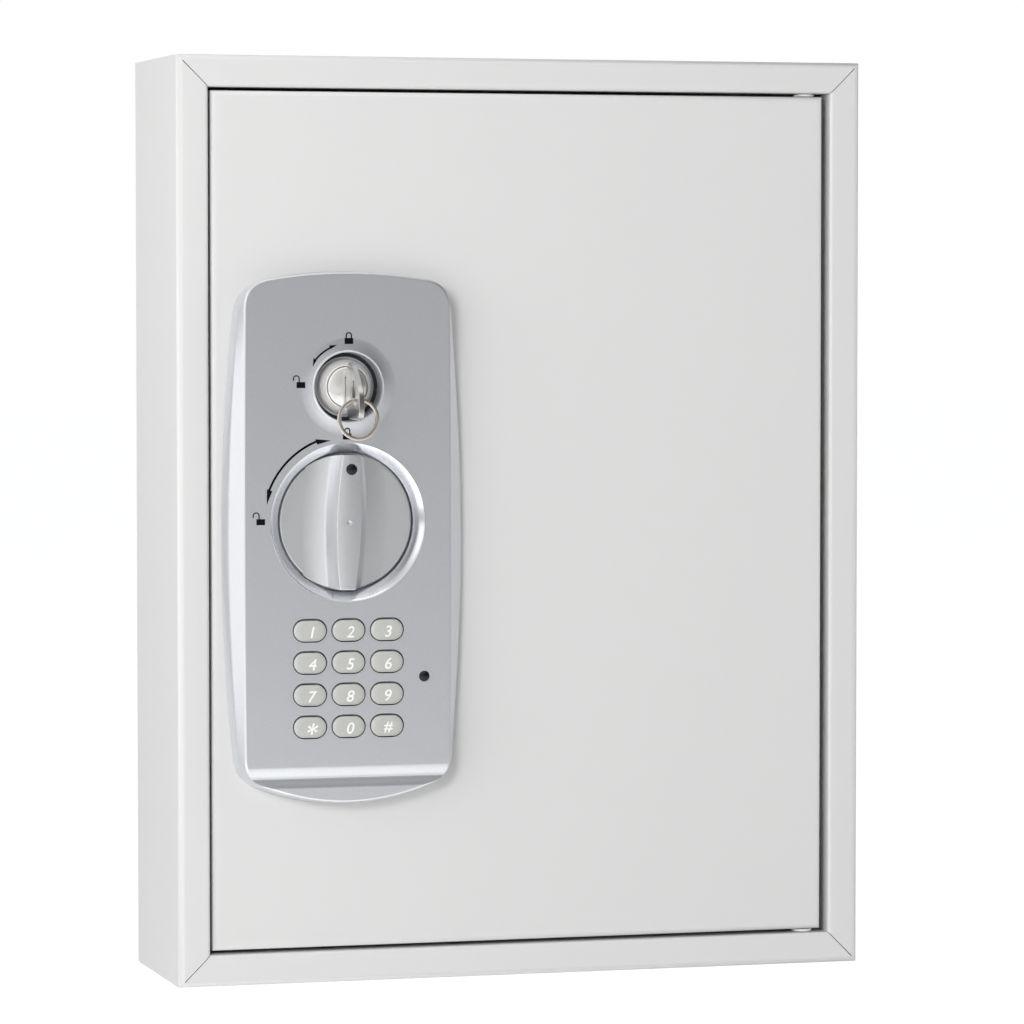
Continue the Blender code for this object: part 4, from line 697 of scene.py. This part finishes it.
bar_aside = -0.6
points = [tuple(tilt @ Vector(p) + Vector((lock_x + bar_aside, 0, 0))) for line in grid for p in line]
wide = len(columns)
corners = [r * wide + c for r in range(len(grid) - 1) for c in range(wide - 1)]
faces = [(i, i + 1, i + wide + 1, i + wide) for i in corners]
bar = drawn("knob_bar", points, faces=faces)
with all_of(bar):
    bpy.ops.mesh.fill_holes(sides=0)
tidied(bar, 40)
bar_front = disc_front - bar_rise

# %% Pits in the bar, for the marker and at the middle
marker_low, marker_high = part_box("knob_marker")
marker_middle = (marker_low + marker_high) / 2 / mm
marker_place = (marker_middle.x - 0.2, marker_middle.z - 0.3)
seat = [(0, bar_front - 1), (2.15, bar_front - 1), (2.15, bar_front + 1.2), (0, bar_front + 1.2)]
pit = [(0, bar_front - 1), (1.15, bar_front - 1), (1.05, bar_front), (0, bar_front + 1.6)]
carved(bar, spun("marker_seat", seat, marker_place, 48))
carved(bar, spun("middle_pit", pit, (lock_x + bar_aside, 0), 40))
knob = joined(disc, tidied(bar, 40))
placed(knob, knob_satin, "knob", "bright_chrome", "knob")
dome = 1.95  # radius of the domed lamp and marker
marker_profile = [(0, bar_front + 1.1), (dome, bar_front + 1.1), (dome, bar_front + 0.3)]
for t in (0.3, 0.6, 0.9, 1.2, 1.4):
    marker_profile.append((dome * math.cos(t), bar_front + 0.3 - math.sin(t)))
marker_profile.append((0, bar_front - 0.7))
marker = spun("marker_dome", marker_profile, marker_place, 40)
placed(marker, lamp_smoke, "knob", "black_plastic", "knob_marker")

# %% [markdown]
# ## Printed symbols
# Black marks show which way is open: a closed padlock above each lock, an open one on its left, and a
# two-headed arrow between them. Each is a thin flat mesh a few hundredths proud of the metal. Near the
# key lock it has to follow the mound, so its depth is worked out from its distance to the lock.

# %% Padlocks and arrows
def mound_front(x, z):
    """The depth of the face, or of the mound round the key lock, at a place."""
    radius = math.hypot(x - lock_x, z - key_z)
    share = min(max((mound_wide - radius) / (mound_wide - mound_hole), 0), 1)
    return face_y - max(mound_rise * share**2 - mound_sunk, 0)


def print_mark(name, outlines):
    """One flat mark from several outlines in (x, z) from the lock's middle line, laid on the metal."""
    marks = []
    for outline in outlines:
        points = [(lock_x + x, face_y, z) for x, z in outline]
        piece = drawn(name, points, faces=[list(range(len(points)))])
        with all_of(piece):
            bpy.ops.mesh.quads_convert_to_tris(ngon_method="BEAUTY")
            bpy.ops.mesh.subdivide(number_cuts=1)
        for point in piece.data.vertices:
            point.co.y = (mound_front(point.co.x / mm, point.co.z / mm) - 0.015) * mm
        marks.append(tidied(pulled(piece, (0, -0.03, 0)), merge=0.0005))
    return placed(joined(*marks), ink_black, "door", "black_plastic")


def band(centre, radius, half, start, end, steps):
    """The outline of a strip that follows a circle."""
    outside = arc_points(centre, radius + half, start, end, steps)
    return outside + arc_points(centre, radius - half, end, start, steps)


def padlock(centre, opened):
    """A body of 3.3 by 2.25 mm with a round shackle, which stands aside when it is open."""
    x, z = centre
    body = [(x - 1.65, z - 1.12), (x + 1.65, z - 1.12), (x + 1.65, z + 1.12), (x - 1.65, z + 1.12)]
    hoop = (x - 1.75, z + 2.35) if opened else (x, z + 2.1)
    wide, half = (1.12, 0.22) if opened else (1.0, 0.24)
    turns = arc_points(hoop, wide + half, 0, 180, 14) + arc_points(hoop, wide - half, 180, 0, 14)
    inner, outer = wide - half, wide + half
    leg_top, leg_end = hoop[1] + 0.05, z + 1.0
    left_end = hoop[1] - 0.75 if opened else leg_end
    right = [(hoop[0] + inner, leg_top), (hoop[0] + outer, leg_top)]
    right += [(hoop[0] + outer, leg_end), (hoop[0] + inner, leg_end)]
    left = [(hoop[0] - outer, left_end), (hoop[0] - inner, left_end)]
    left += [(hoop[0] - inner, leg_top), (hoop[0] - outer, leg_top)]
    return [body, turns, right, left]


def arrow(centre, radius, half, tips, base, head):
    """A thin arc with a slim head on each end. A tip is (radius, angle), and a base is an angle."""
    first, last = tips
    shapes = [band(centre, radius, half, first[1] + 0.97 * base, last[1] - 0.97 * base, 32)]
    for tip, back in ((first, first[1] + base), (last, last[1] - base)):
        corners = [tip, (head[0], back), (head[1], back)]
        shapes.append([arc_points(centre, r, turn, turn, 1)[0] for r, turn in corners])
    return shapes


print_mark("mark_key_lock_closed", padlock((0.31, 68.05), False))
print_mark("mark_key_lock_open", padlock((-18.2, 51.6), True))
key_lock_tips, knob_tips = ((16.35, 104.8), (15.65, 151.1)), ((31.5, 102.2), (32.1, 167.8))
print_mark("mark_key_lock_arrow", arrow((0, key_z), 16.2, 0.33, key_lock_tips, 10.5, (17.25, 15.8)))
print_mark("mark_knob_closed", padlock((-0.4, 32.2), False))
print_mark("mark_knob_open", padlock((-33.7, 0.45), True))
print_mark("mark_knob_arrow", arrow((0, 0), 32.8, 0.42, knob_tips, 10, (33.8, 31.6)))

# %% [markdown]
# ## The emergency key lock
# A bright collar lines the hole. Its wall steps in and ends in a floor, on which a near-black ring is
# painted shade for the deep well, and in its middle sits the cylinder, a polished head with sloping
# sides and a turning plug. All are turned forms. The upright slot for the key is cut through the plug.

# %% Collar, cylinder and plug
lock_centre = (lock_x, key_z)
collar_front = face_y - 1.2
wall_deep = collar_front + 7.0
collar_profile = [(13.9, face_y + 3), (13.9, collar_front + 0.45)]
lip_radius, lip_round = 13.48, 0.42
for t in (0.3, 0.6, 0.95, 1.3, 1.57, 1.9, 2.25, 2.6, 2.9):
    point = (lip_radius + lip_round * math.cos(t), collar_front + 0.45 - lip_round * math.sin(t))
    collar_profile.append(point)
collar_profile += [(13.05, collar_front + 0.6), (12.85, wall_deep)]
collar_profile += [(11.2, wall_deep + 0.1), (11.2, wall_deep + 1.6)]
collar_profile += [(13.9, wall_deep + 1.6), (13.9, face_y + 3)]
collar = spun("key_collar", collar_profile, lock_centre, 128, 38)
placed(collar, collar_satin, "door", "bright_chrome", "keylock_collar")
# A near-black ring on the collar's floor is painted shade for the deep well.
floor_profile = [(11.3, wall_deep - 0.04), (12.8, wall_deep - 0.04), (12.8, wall_deep + 0.05)]
floor_profile += [(11.3, wall_deep + 0.05), floor_profile[0]]
well_shade_ring = spun("collar_floor_shade", floor_profile, lock_centre, 96)
placed(well_shade_ring, well_shade_finish, "door", "black_plastic")

# %% Cylinder and plug
head_front = collar_front + 1.9
head_profile = [(7.85, head_front + 4), (7.85, head_front + 0.45), (7.95, head_front + 0.15)]
head_slope = ((8.15, 0), (8.4, 0.15), (8.9, 0.85), (9.45, 1.55), (9.9, 2.25), (10.25, 2.85),
              (10.47, 3.4), (10.58, 3.95), (10.6, 4.6), (10.6, 6.4), (9.4, 6.6))
head_end, plug_end = -64.0, -62.6
head_profile += [(radius, head_front + depth) for radius, depth in head_slope]
head_profile += [(9.4, head_end), (7.85, head_end), head_profile[0]]
head = spun("cylinder_head", head_profile, lock_centre, 128, 30)
placed(head, head_satin, "door", "bright_chrome", "lock_cylinder")

plug_profile = [(r, head_front - 0.75 + 1.2 * (r / 7.7) ** 2) for r in (0, 1, 2, 3, 4, 5, 6, 6.8, 7.3)]
plug_profile += [(7.5, head_front + 0.5), (7.6, head_front + 0.7), (7.62, head_front + 1.1)]
plug_profile += [(7.62, plug_end), (0, plug_end)]
plug = spun("turning_plug", plug_profile, lock_centre, 128, 30)
slot_corners = ((-1.22, -3.9), (1.22, -3.9), (1.22, 3.9), (-1.22, 3.9))
slot_points = [(lock_x + x, key_z + z) for x, z in slot_corners]
carved(plug, slab("keyway", slot_points, head_front - 3, head_front + 22))
placed(tidied(plug, 25), plug_satin, "plug", "bright_chrome", "lock_plug")

# %% [markdown]
# ## The key and its ring
# The key is flat. Seen from the side, its bow is nearly round, with a slot for the ring. The outline is
# filled and extruded to 2.2 mm, the slot is cut, and the edges get a small bevel. The ring is flat wire.

# %% Key
neck_y = -90.3
bow_far = neck_y - 20


def softened(points, rounds=3):
    """Cuts the corners of a closed outline again and again, until it is smooth."""
    for _ in range(rounds):
        nexts = points[1:] + points[:1]
        pairs = zip(points, nexts)
        points = [(a[0] * (1 - t) + b[0] * t, a[1] * (1 - t) + b[1] * t)
                  for a, b in pairs for t in (0.25, 0.75)]
    return points


bow_corners = [(-0.3, 4.4), (-2.8, 9.2), (-8.2, 9.4), (-13.5, 4.6), (-19.0, -0.6), (-20.2, -4.5),
               (-20.2, -12.0), (-12.0, -11.9), (-2.0, -11.9), (-0.3, -5.0)]
bow_line = softened([(neck_y + y, key_z + z) for y, z in bow_corners])
bow_line = [p for p in bow_line if p[0] < neck_y - 0.35]
starts = [(point[1] < key_z, abs(point[0] - neck_y)) for point in bow_line]
first = starts.index(min(starts))
bow_line = bow_line[first:] + bow_line[:first]
blade_tip = head_front + 21
key_thick = 2.2
key_outline = [(blade_tip - 3.6, key_z - 3.6), (blade_tip, key_z), (blade_tip - 3.6, key_z + 3.6)]
key_outline += [(neck_y + 0.8, key_z + 3.7)] + bow_line + [(neck_y + 0.8, key_z - 3.7)]
key_points = [(lock_x - key_thick / 2, y, z) for y, z in key_outline]
key = drawn("key_body", key_points, faces=[list(range(len(key_points)))])
tidied(pulled(key, (key_thick, 0, 0)), 25, merge=0.0005)
eye_centre = (bow_far + 8.6, key_z - 1.6)
eye_outline = [(z, y) for y, z in slot_outline((0, 0), 8.4, 5.2, 8)]
eye_points = [(lock_x - 3, eye_centre[0] + a, eye_centre[1] + b) for a, b in eye_outline]
eye = drawn("key_eye", eye_points, faces=[list(range(len(eye_points)))])
carved(key, tidied(pulled(eye, (6, 0, 0)), merge=0.0005))
softened_edge(key, 0.32, angle=60)
placed(tidied(key, 25, merge=0.0005), key_nickel, "key", "zinc_plated_steel", "emergency_key")

# %% Wire ring
ring_low, ring_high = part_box("key_ring")
ring_centre = (ring_low + ring_high) / 2 / mm
ring_reach = (ring_high.x - ring_low.x) / 2 / mm
band_outline = []
band_corners = ((0.42, 0.36), (-0.42, 0.36), (-0.42, -0.36), (0.42, -0.36))
for corner, start in zip(band_corners, (0, 90, 180, 270)):
    band_outline += arc_points(corner, 0.28, start, start + 90, 4)
band_profile = [(ring_reach - 0.5 + r, ring_centre.y + y) for r, y in band_outline]
ring_middle = (ring_centre.x + 0.45, ring_centre.z - 0.35)
ring = spun("wire_ring", band_profile + [band_profile[0]], ring_middle, 128, 45)
placed(ring, wire_gold, "ring", "nickel_wire", "key_ring")

# %% [markdown]
# ## The keypad
# Twelve caps stand in their slots. One cap is modelled: a stadium is extruded, its front is drawn back
# towards the edge to crown it, and its edge gets a small bevel. The twelve are copies of it, each with
# its own mesh. The digits are text turned into thin meshes, slanted as on the real keys.

# %% Caps
cap_front = face_y - 1.3
cap_long, cap_wide = 12.4, 7.85
cap_centre = (key_places["1"][0], key_places["1"][1] - 0.12)
cap_outline = slot_outline(cap_centre, cap_long, cap_wide, 20)
first_cap = slab("cap", cap_outline, cap_front, face_y + 3.1)
bpy.ops.object.mode_set(mode="EDIT")
bpy.ops.mesh.select_all(action="DESELECT")
bpy.ops.object.mode_set(mode="OBJECT")
for face in first_cap.data.polygons:
    face.select = face.normal.y < -0.9
bpy.ops.object.mode_set(mode="EDIT")
bpy.ops.mesh.select_mode(type="FACE")
bpy.ops.mesh.inset(thickness=0.85 * mm, depth=0)
bpy.ops.mesh.inset(thickness=0.9 * mm, depth=0)
bpy.ops.mesh.inset(thickness=0.9 * mm, depth=0)
bpy.ops.object.mode_set(mode="OBJECT")
half_long, half_wide = (cap_long - cap_wide) / 2, cap_wide / 2
for point in first_cap.data.vertices:
    x, y, z = point.co / mm
    if y > cap_front + 1:
        continue
    off = math.hypot(max(abs(x - cap_centre[0]) - half_long, 0), z - cap_centre[1])
    share = min(off / half_wide, 1)
    point.co.y = (cap_front + 0.75 * share**5 + 0.12 * share**2) * mm
softened_edge(first_cap, 0.28, angle=30)
tidied(first_cap, 50, merge=0.0005)

first_x, first_z = key_places["1"]
shifts = {name: (x - first_x, 0, z - first_z) for name, (x, z) in key_places.items()}
for name in key_names:
    cap = copied(first_cap, f"cap_{name}", shifts[name])
    placed(cap, caps, f"button_{name}", "warm_grey_caps", f"button_{name}")
bpy.data.objects.remove(first_cap)

# %% [markdown]
# The rubber mat behind the plate gets a thin black lip round every key, which lines the slot just
# below the face. The lip is painted shade, which makes the gap round a key look black. A lip is an
# outline pulled forward, with a smaller outline cut out of it.

# %% Rubber lips round the keys, as painted shade in the gaps
lip_outline = slot_outline(key_places["1"], 13.28, 8.98, 20)
first_shade_lip = slab("lip", lip_outline, face_y + 0.4, face_y + 2.6)
lip_opening = slot_outline(key_places["1"], 12.9, 8.6, 20)
carved(first_shade_lip, slab("lip_opening", lip_opening, face_y - 1, face_y + 4))
for name in key_names:
    # Each lip is black rubber put in the gap round its key as painted shade.
    lip = copied(first_shade_lip, f"rubber_shade_lip_{name}", shifts[name])
    placed(lip, rubber, "door", "black_rubber")
bpy.data.objects.remove(first_shade_lip)

# %% Digits
glyphs = dict(zip(key_names, "123456789*0#"))
upright = Matrix.Rotation(math.radians(90), 4, "X")
for name in key_names:
    bpy.ops.object.select_all(action="DESELECT")
    bpy.ops.object.text_add()
    digit = bpy.context.object
    digit.data.body = glyphs[name]
    digit.data.size = {"star": 9.0, "hash": 5.6}.get(name, 6.0) * mm
    digit.data.bevel_depth = {"star": 0.16, "hash": 0.08}.get(name, 0.065) * mm
    digit.data.bevel_resolution = 0
    digit.data.shear = 0.12 if name == "hash" else 0.2
    digit.data.align_x = "CENTER"
    digit.data.align_y = "CENTER"
    bpy.ops.object.convert(target="MESH")
    digit = bpy.context.object
    digit.name = f"digit_{name}"
    key_x, key_up = key_places[name]
    digit_aside = 0.75 - 0.016 * (key_x - first_x)
    xs = [v.co.x for v in digit.data.vertices]
    ys = [v.co.y for v in digit.data.vertices]
    middle = Vector((min(xs) + max(xs), min(ys) + max(ys), 0)) / 2
    digit_place = Vector((key_x + digit_aside, cap_front - 0.02, key_up - 0.6)) * mm
    digit.data.transform(Matrix.Translation(digit_place) @ upright @ Matrix.Translation(-middle))
    placed(tidied(digit, merge=0.0002), ink_white, f"button_{name}", "warm_grey_caps")

# %% Status lamp
lamp_profile = [(0, face_y + 1.5), (dome, face_y + 1.5), (dome, face_y + 0.1)]
for t in (0.25, 0.5, 0.75, 1.0, 1.25, 1.42):
    lamp_profile.append((dome * math.cos(t), face_y + 0.1 - math.sin(t)))
lamp_profile.append((0, face_y - 0.9))
lamp = spun("lamp_dome", lamp_profile, lamp_place, 40)
placed(lamp, lamp_smoke, "door", "smoked_lamp", "status_lamp")

# %% [markdown]
# ## The folded sheet metal
# The case and the door are right as they are, but their bends are cut into three flats. A merged copy
# with smooth bends, whose flats keep their own normals, looks like real folded sheet.

# %% Smooth copies of folded parts
def smooth_copy(node, name, look, slot, angle=35):
    """A merged copy of a CAD node, smooth over its bends and flat on its flats."""
    source = frame["nodes"][node]
    piece = copied(source, name)
    tidied(piece, angle, merge=0.001)
    return placed(evened(piece), look, source["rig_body"], slot, node)


smooth_copy("case_shell", "cabinet_case", powder, "light_grey_paint")
smooth_copy("door_panel", "cabinet_door", powder, "light_grey_paint")
for end in ("top", "bottom"):
    smooth_copy(f"stop_bracket_{end}", f"door_stop_{end}", powder, "light_grey_paint")
for number in range(1, 7):
    smooth_copy(f"hook_rail_{number}", f"hook_strip_{number}", zinc, "zinc_plated_steel")

# %% [markdown]
# ## Inside the cabinet
# The rest is seen once the door is open: the lock box with its cover, the battery box, the bolt, and
# the numbered hook strips. Real sheet and moulded edges are never razor sharp, so each of these pieces
# is a merged copy whose loose triangles are dissolved into flats and whose edges get a small bevel,
# which catches the light. Drawing them again would only risk moving a hole.

# %% Copies with soft edges
def edged_copy(node, name, look, slot, width=0.25, angle=35):
    """A merged copy of a CAD node with a small bevel on its edges."""
    source = frame["nodes"][node]
    piece = copied(source, name)
    with all_of(piece):
        bpy.ops.mesh.remove_doubles(threshold=0.001 * mm)
        bpy.ops.mesh.dissolve_limited(angle_limit=math.radians(0.5))
    soft = piece.modifiers.new("soft", "BEVEL")
    soft.width = width * mm
    soft.segments = 2
    soft.limit_method = "ANGLE"
    soft.angle_limit = math.radians(angle)
    soft.use_clamp_overlap = True
    bpy.ops.object.modifier_apply(modifier="soft")
    bpy.ops.object.shade_smooth_by_angle(angle=math.radians(40))
    return placed(evened(piece), look, source["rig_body"], slot, node)


zinc_pieces = (("lock_case", "lock_box", 0.3), ("lock_cover", "lock_box_cover", 0.3),
               ("sliding_bolt", "latch_bolt", 0.35), ("lock_cam", "cam_arm", 0.2),
               ("cylinder_nut", "ring_nut", 0.3), ("drive_spindle", "spindle", 0.25),
               ("solenoid_plunger", "locking_pin", 0.25))
moulded_pieces = (("solenoid", "magnet_coil", 0.3), ("battery_box", "battery_tray", 0.3),
                  ("battery_lid", "battery_cover", 0.35))
for node, name, bevel in zinc_pieces:
    edged_copy(node, name, zinc, "zinc_plated_steel", bevel)
for node, name, bevel in moulded_pieces:
    edged_copy(node, name, black_plastic, "black_plastic", bevel)
for end in ("top", "bottom"):
    edged_copy(f"hinge_washer_{end}", f"washer_{end}", nylon, "white_nylon", 0.15)
    edged_copy(f"hinge_pin_{end}", f"pivot_pin_{end}", zinc, "zinc_plated_steel", 0.25)
    edged_copy(f"door_buffer_{end}", f"stop_pad_{end}", rubber, "black_rubber", 0.5)
smooth_copy("lock_cable", "cable", rubber, "black_plastic", 60)

# %% [markdown]
# The cover is pressed: a raised panel stiffens it between its four screws. The panel is a rounded
# outline that stands 0.6 mm proud of the cover, with a bevel round its edge. The screws have domed
# heads with a cross slot. One is turned and cut, and all four are copies of it.

# %% Pressed panel and screws of the lock box
def rounded_rectangle(left, right, low, high, radius, steps=6):
    """The outline of a rectangle with round corners."""
    corners = (((right - radius, low + radius), -90), ((right - radius, high - radius), 0),
               ((left + radius, high - radius), 90), ((left + radius, low + radius), 180))
    arcs = [arc_points(centre, radius, start, start + 90, steps) for centre, start in corners]
    return [point for arc in arcs for point in arc]


def pressed(piece, width, segments=3):
    """A flat form with soft edges, as pressed or moulded."""
    softened_edge(piece, width, segments)
    bpy.ops.object.shade_smooth_by_angle(angle=math.radians(40))
    return evened(piece)


cover_low, cover_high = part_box("lock_cover")
cover_rear = cover_high.y / mm
panel_left, panel_right = cover_low.x / mm + 16, cover_high.x / mm - 16
panel_bottom, panel_top = cover_low.z / mm + 14, cover_high.z / mm - 14
panel_outline = rounded_rectangle(panel_left, panel_right, panel_bottom, panel_top, 5)
panel = slab("cover_panel", panel_outline, cover_rear - 0.3, cover_rear + 0.6)
placed(pressed(panel, 0.5), zinc, "door", "zinc_plated_steel")


def middle_of(node):
    """The middle of a CAD node across and up, in millimetres."""
    low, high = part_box(node)
    return (low.x + high.x) / 2 / mm, (low.z + high.z) / 2 / mm


screw_low, screw_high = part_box("lock_screw_1")
first_place = middle_of("lock_screw_1")
screw_end, screw_tip = screw_high.y / mm, screw_low.y / mm
head_radius, shank_radius, head_height = 3.6, 1.78, 2.3
screw_profile = [(0, screw_end), (1.2, screw_end - 0.08), (2.2, screw_end - 0.3), (3.0, screw_end - 0.75)]
screw_profile += [(3.45, screw_end - 1.3), (head_radius, screw_end - 1.8)]
screw_profile += [(head_radius, screw_end - head_height), (shank_radius, screw_end - head_height)]
screw_profile += [(shank_radius, screw_tip + 0.6), (shank_radius - 0.6, screw_tip), (0, screw_tip)]
first_screw = spun("screw", screw_profile, first_place, 40)
for across, up in ((1.7, 0.42), (0.42, 1.7)):
    signs = ((-1, -1), (1, -1), (1, 1), (-1, 1))
    arm = [(first_place[0] + sx * across, first_place[1] + sz * up) for sx, sz in signs]
    carved(first_screw, slab("cross", arm, screw_end - 1.2, screw_end + 1))
tidied(first_screw, 30, merge=0.0005)
for number in range(1, 5):
    place = middle_of(f"lock_screw_{number}")
    shift = (place[0] - first_place[0], 0, place[1] - first_place[1])
    screw = copied(first_screw, f"cover_screw_{number}", shift)
    placed(screw, zinc, "door", "zinc_plated_steel", f"lock_screw_{number}")
bpy.data.objects.remove(first_screw)

# %% [markdown]
# The battery cover has grip ribs under its thumb rest, so that it can be pushed down with one finger.
# The four cells behind it are turned forms: a wrapped body, and bright ends with the small raised
# contact. They stand in turn head up and head down, as in every such box.

# %% Grip ribs and cells
lid_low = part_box("battery_lid")[0]
lid_middle = middle_of("battery_lid")[0]
lid_thick = 1.6
lid_face = lid_low.y / mm + lid_thick
ribs = []
for step in range(5):
    height = lid_low.z / mm + 6 + 2.2 * step
    outline = rounded_rectangle(lid_middle - 9, lid_middle + 9, height - 0.45, height + 0.45, 0.4, 3)
    ribs.append(pressed(slab(f"rib_{step}", outline, lid_face - 0.3, lid_face + 0.55), 0.2, 2))
grip = joined(*ribs)
grip.name = "lid_grip_ribs"
placed(grip, black_plastic, "lid", "black_plastic")

cell_low, cell_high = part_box("battery_1")
cell_radius, cell_length = (cell_high.x - cell_low.x) / 2 / mm, (cell_high.z - cell_low.z) / mm
wrap_profile = [(0, 0.5), (5.6, 0.5), (6.4, 0.25), (6.9, 0.3), (cell_radius, 0.6)]
wrap_profile += [(cell_radius, cell_length - 2.2), (6.9, cell_length - 1.8), (6.0, cell_length - 1.75)]
wrap_profile.append((0, cell_length - 1.75))
ends_profile = [(0, 0.0), (5.0, 0.0), (5.5, 0.2), (5.5, 0.7), (0, 0.7)]
nub_profile = [(0, cell_length - 1.9), (5.8, cell_length - 1.9), (5.8, cell_length - 1.5)]
nub_profile += [(2.75, cell_length - 1.35), (2.7, cell_length - 0.2), (2.4, cell_length), (0, cell_length)]
for number in range(1, 5):
    low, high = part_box(f"battery_{number}")
    middle = (low + high) / 2
    stand = Matrix.Rotation(math.radians(90 if number % 2 else -90), 4, "X")
    lift = Matrix.Translation(middle) @ stand @ Matrix.Translation((0, -cell_length / 2 * mm, 0))
    body = spun(f"cell_wrap_{number}", wrap_profile, (0, 0), 40)
    ends = spun(f"cell_ends_{number}", ends_profile, (0, 0), 40)
    metal = joined(ends, spun("nub", nub_profile, (0, 0), 40))
    for piece in (body, metal):
        piece.data.transform(lift)
    placed(body, cell_wrap, "door", "battery_wrap", f"battery_{number}")
    placed(metal, zinc, "door", "battery_wrap")

# %% [markdown]
# Every hook has its number, so that a key goes back where it came from. The numbers are text, turned
# into a thin mesh before its place is applied, and a strip's eight numbers are one piece. A white
# label lies behind each, as thin as paper.

# %% Numbers of the hooks
def number_text(words, size, place, depth):
    """Figures as a thin mesh, upright and facing forward."""
    letters = bpy.data.curves.new("number", "FONT")
    letters.body = words
    letters.size = size * mm
    letters.align_x = "CENTER"
    letters.align_y = "CENTER"
    letters.extrude = 0.02 * mm
    letters.resolution_u = 3
    holder = bpy.data.objects.new("number", letters)
    scene.collection.objects.link(holder)
    alone(holder)
    bpy.ops.object.convert(target="MESH")
    piece = bpy.context.view_layer.objects.active
    piece.data.transform(Matrix.Translation(Vector((place[0], depth, place[1])) * mm) @ upright)
    return piece


hook_pitch, hooks_each = 28, 8
for number in range(1, 7):
    low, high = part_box(f"hook_rail_{number}")
    strip_face = high.y / mm - 1.0
    middle = middle_of(f"hook_rail_{number}")[1]
    labels, numbers = [], []
    for i in range(hooks_each):
        x = (i - (hooks_each - 1) / 2) * hook_pitch
        place = (x, middle + 5.4)
        outline = rounded_rectangle(x - 3.6, x + 3.6, middle + 3.4, middle + 7.4, 0.8, 3)
        labels.append(slab(f"label_{i}", outline, strip_face - 0.12, strip_face - 0.02))
        numbers.append(number_text(str((number - 1) * hooks_each + i + 1), 4.0, place, strip_face - 0.15))
    label_row, number_row = joined(*labels), joined(*numbers)
    label_row.name, number_row.name = f"hook_labels_{number}", f"hook_numbers_{number}"
    placed(label_row, nylon, "case", "white_nylon")
    placed(number_row, ink_black, "case", "zinc_plated_steel")

# %% [markdown]
# ## Measure and finish
# The looks may stand only a little proud of the CAD model, so both boxes are written out to compare.

# %% Write the sizes and finish
looks_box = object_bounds()
for title, box in (("CAD box:", cad_box), ("looks box:", looks_box)):
    print(title, [[round(value, 4) for value in corner] for corner in box])
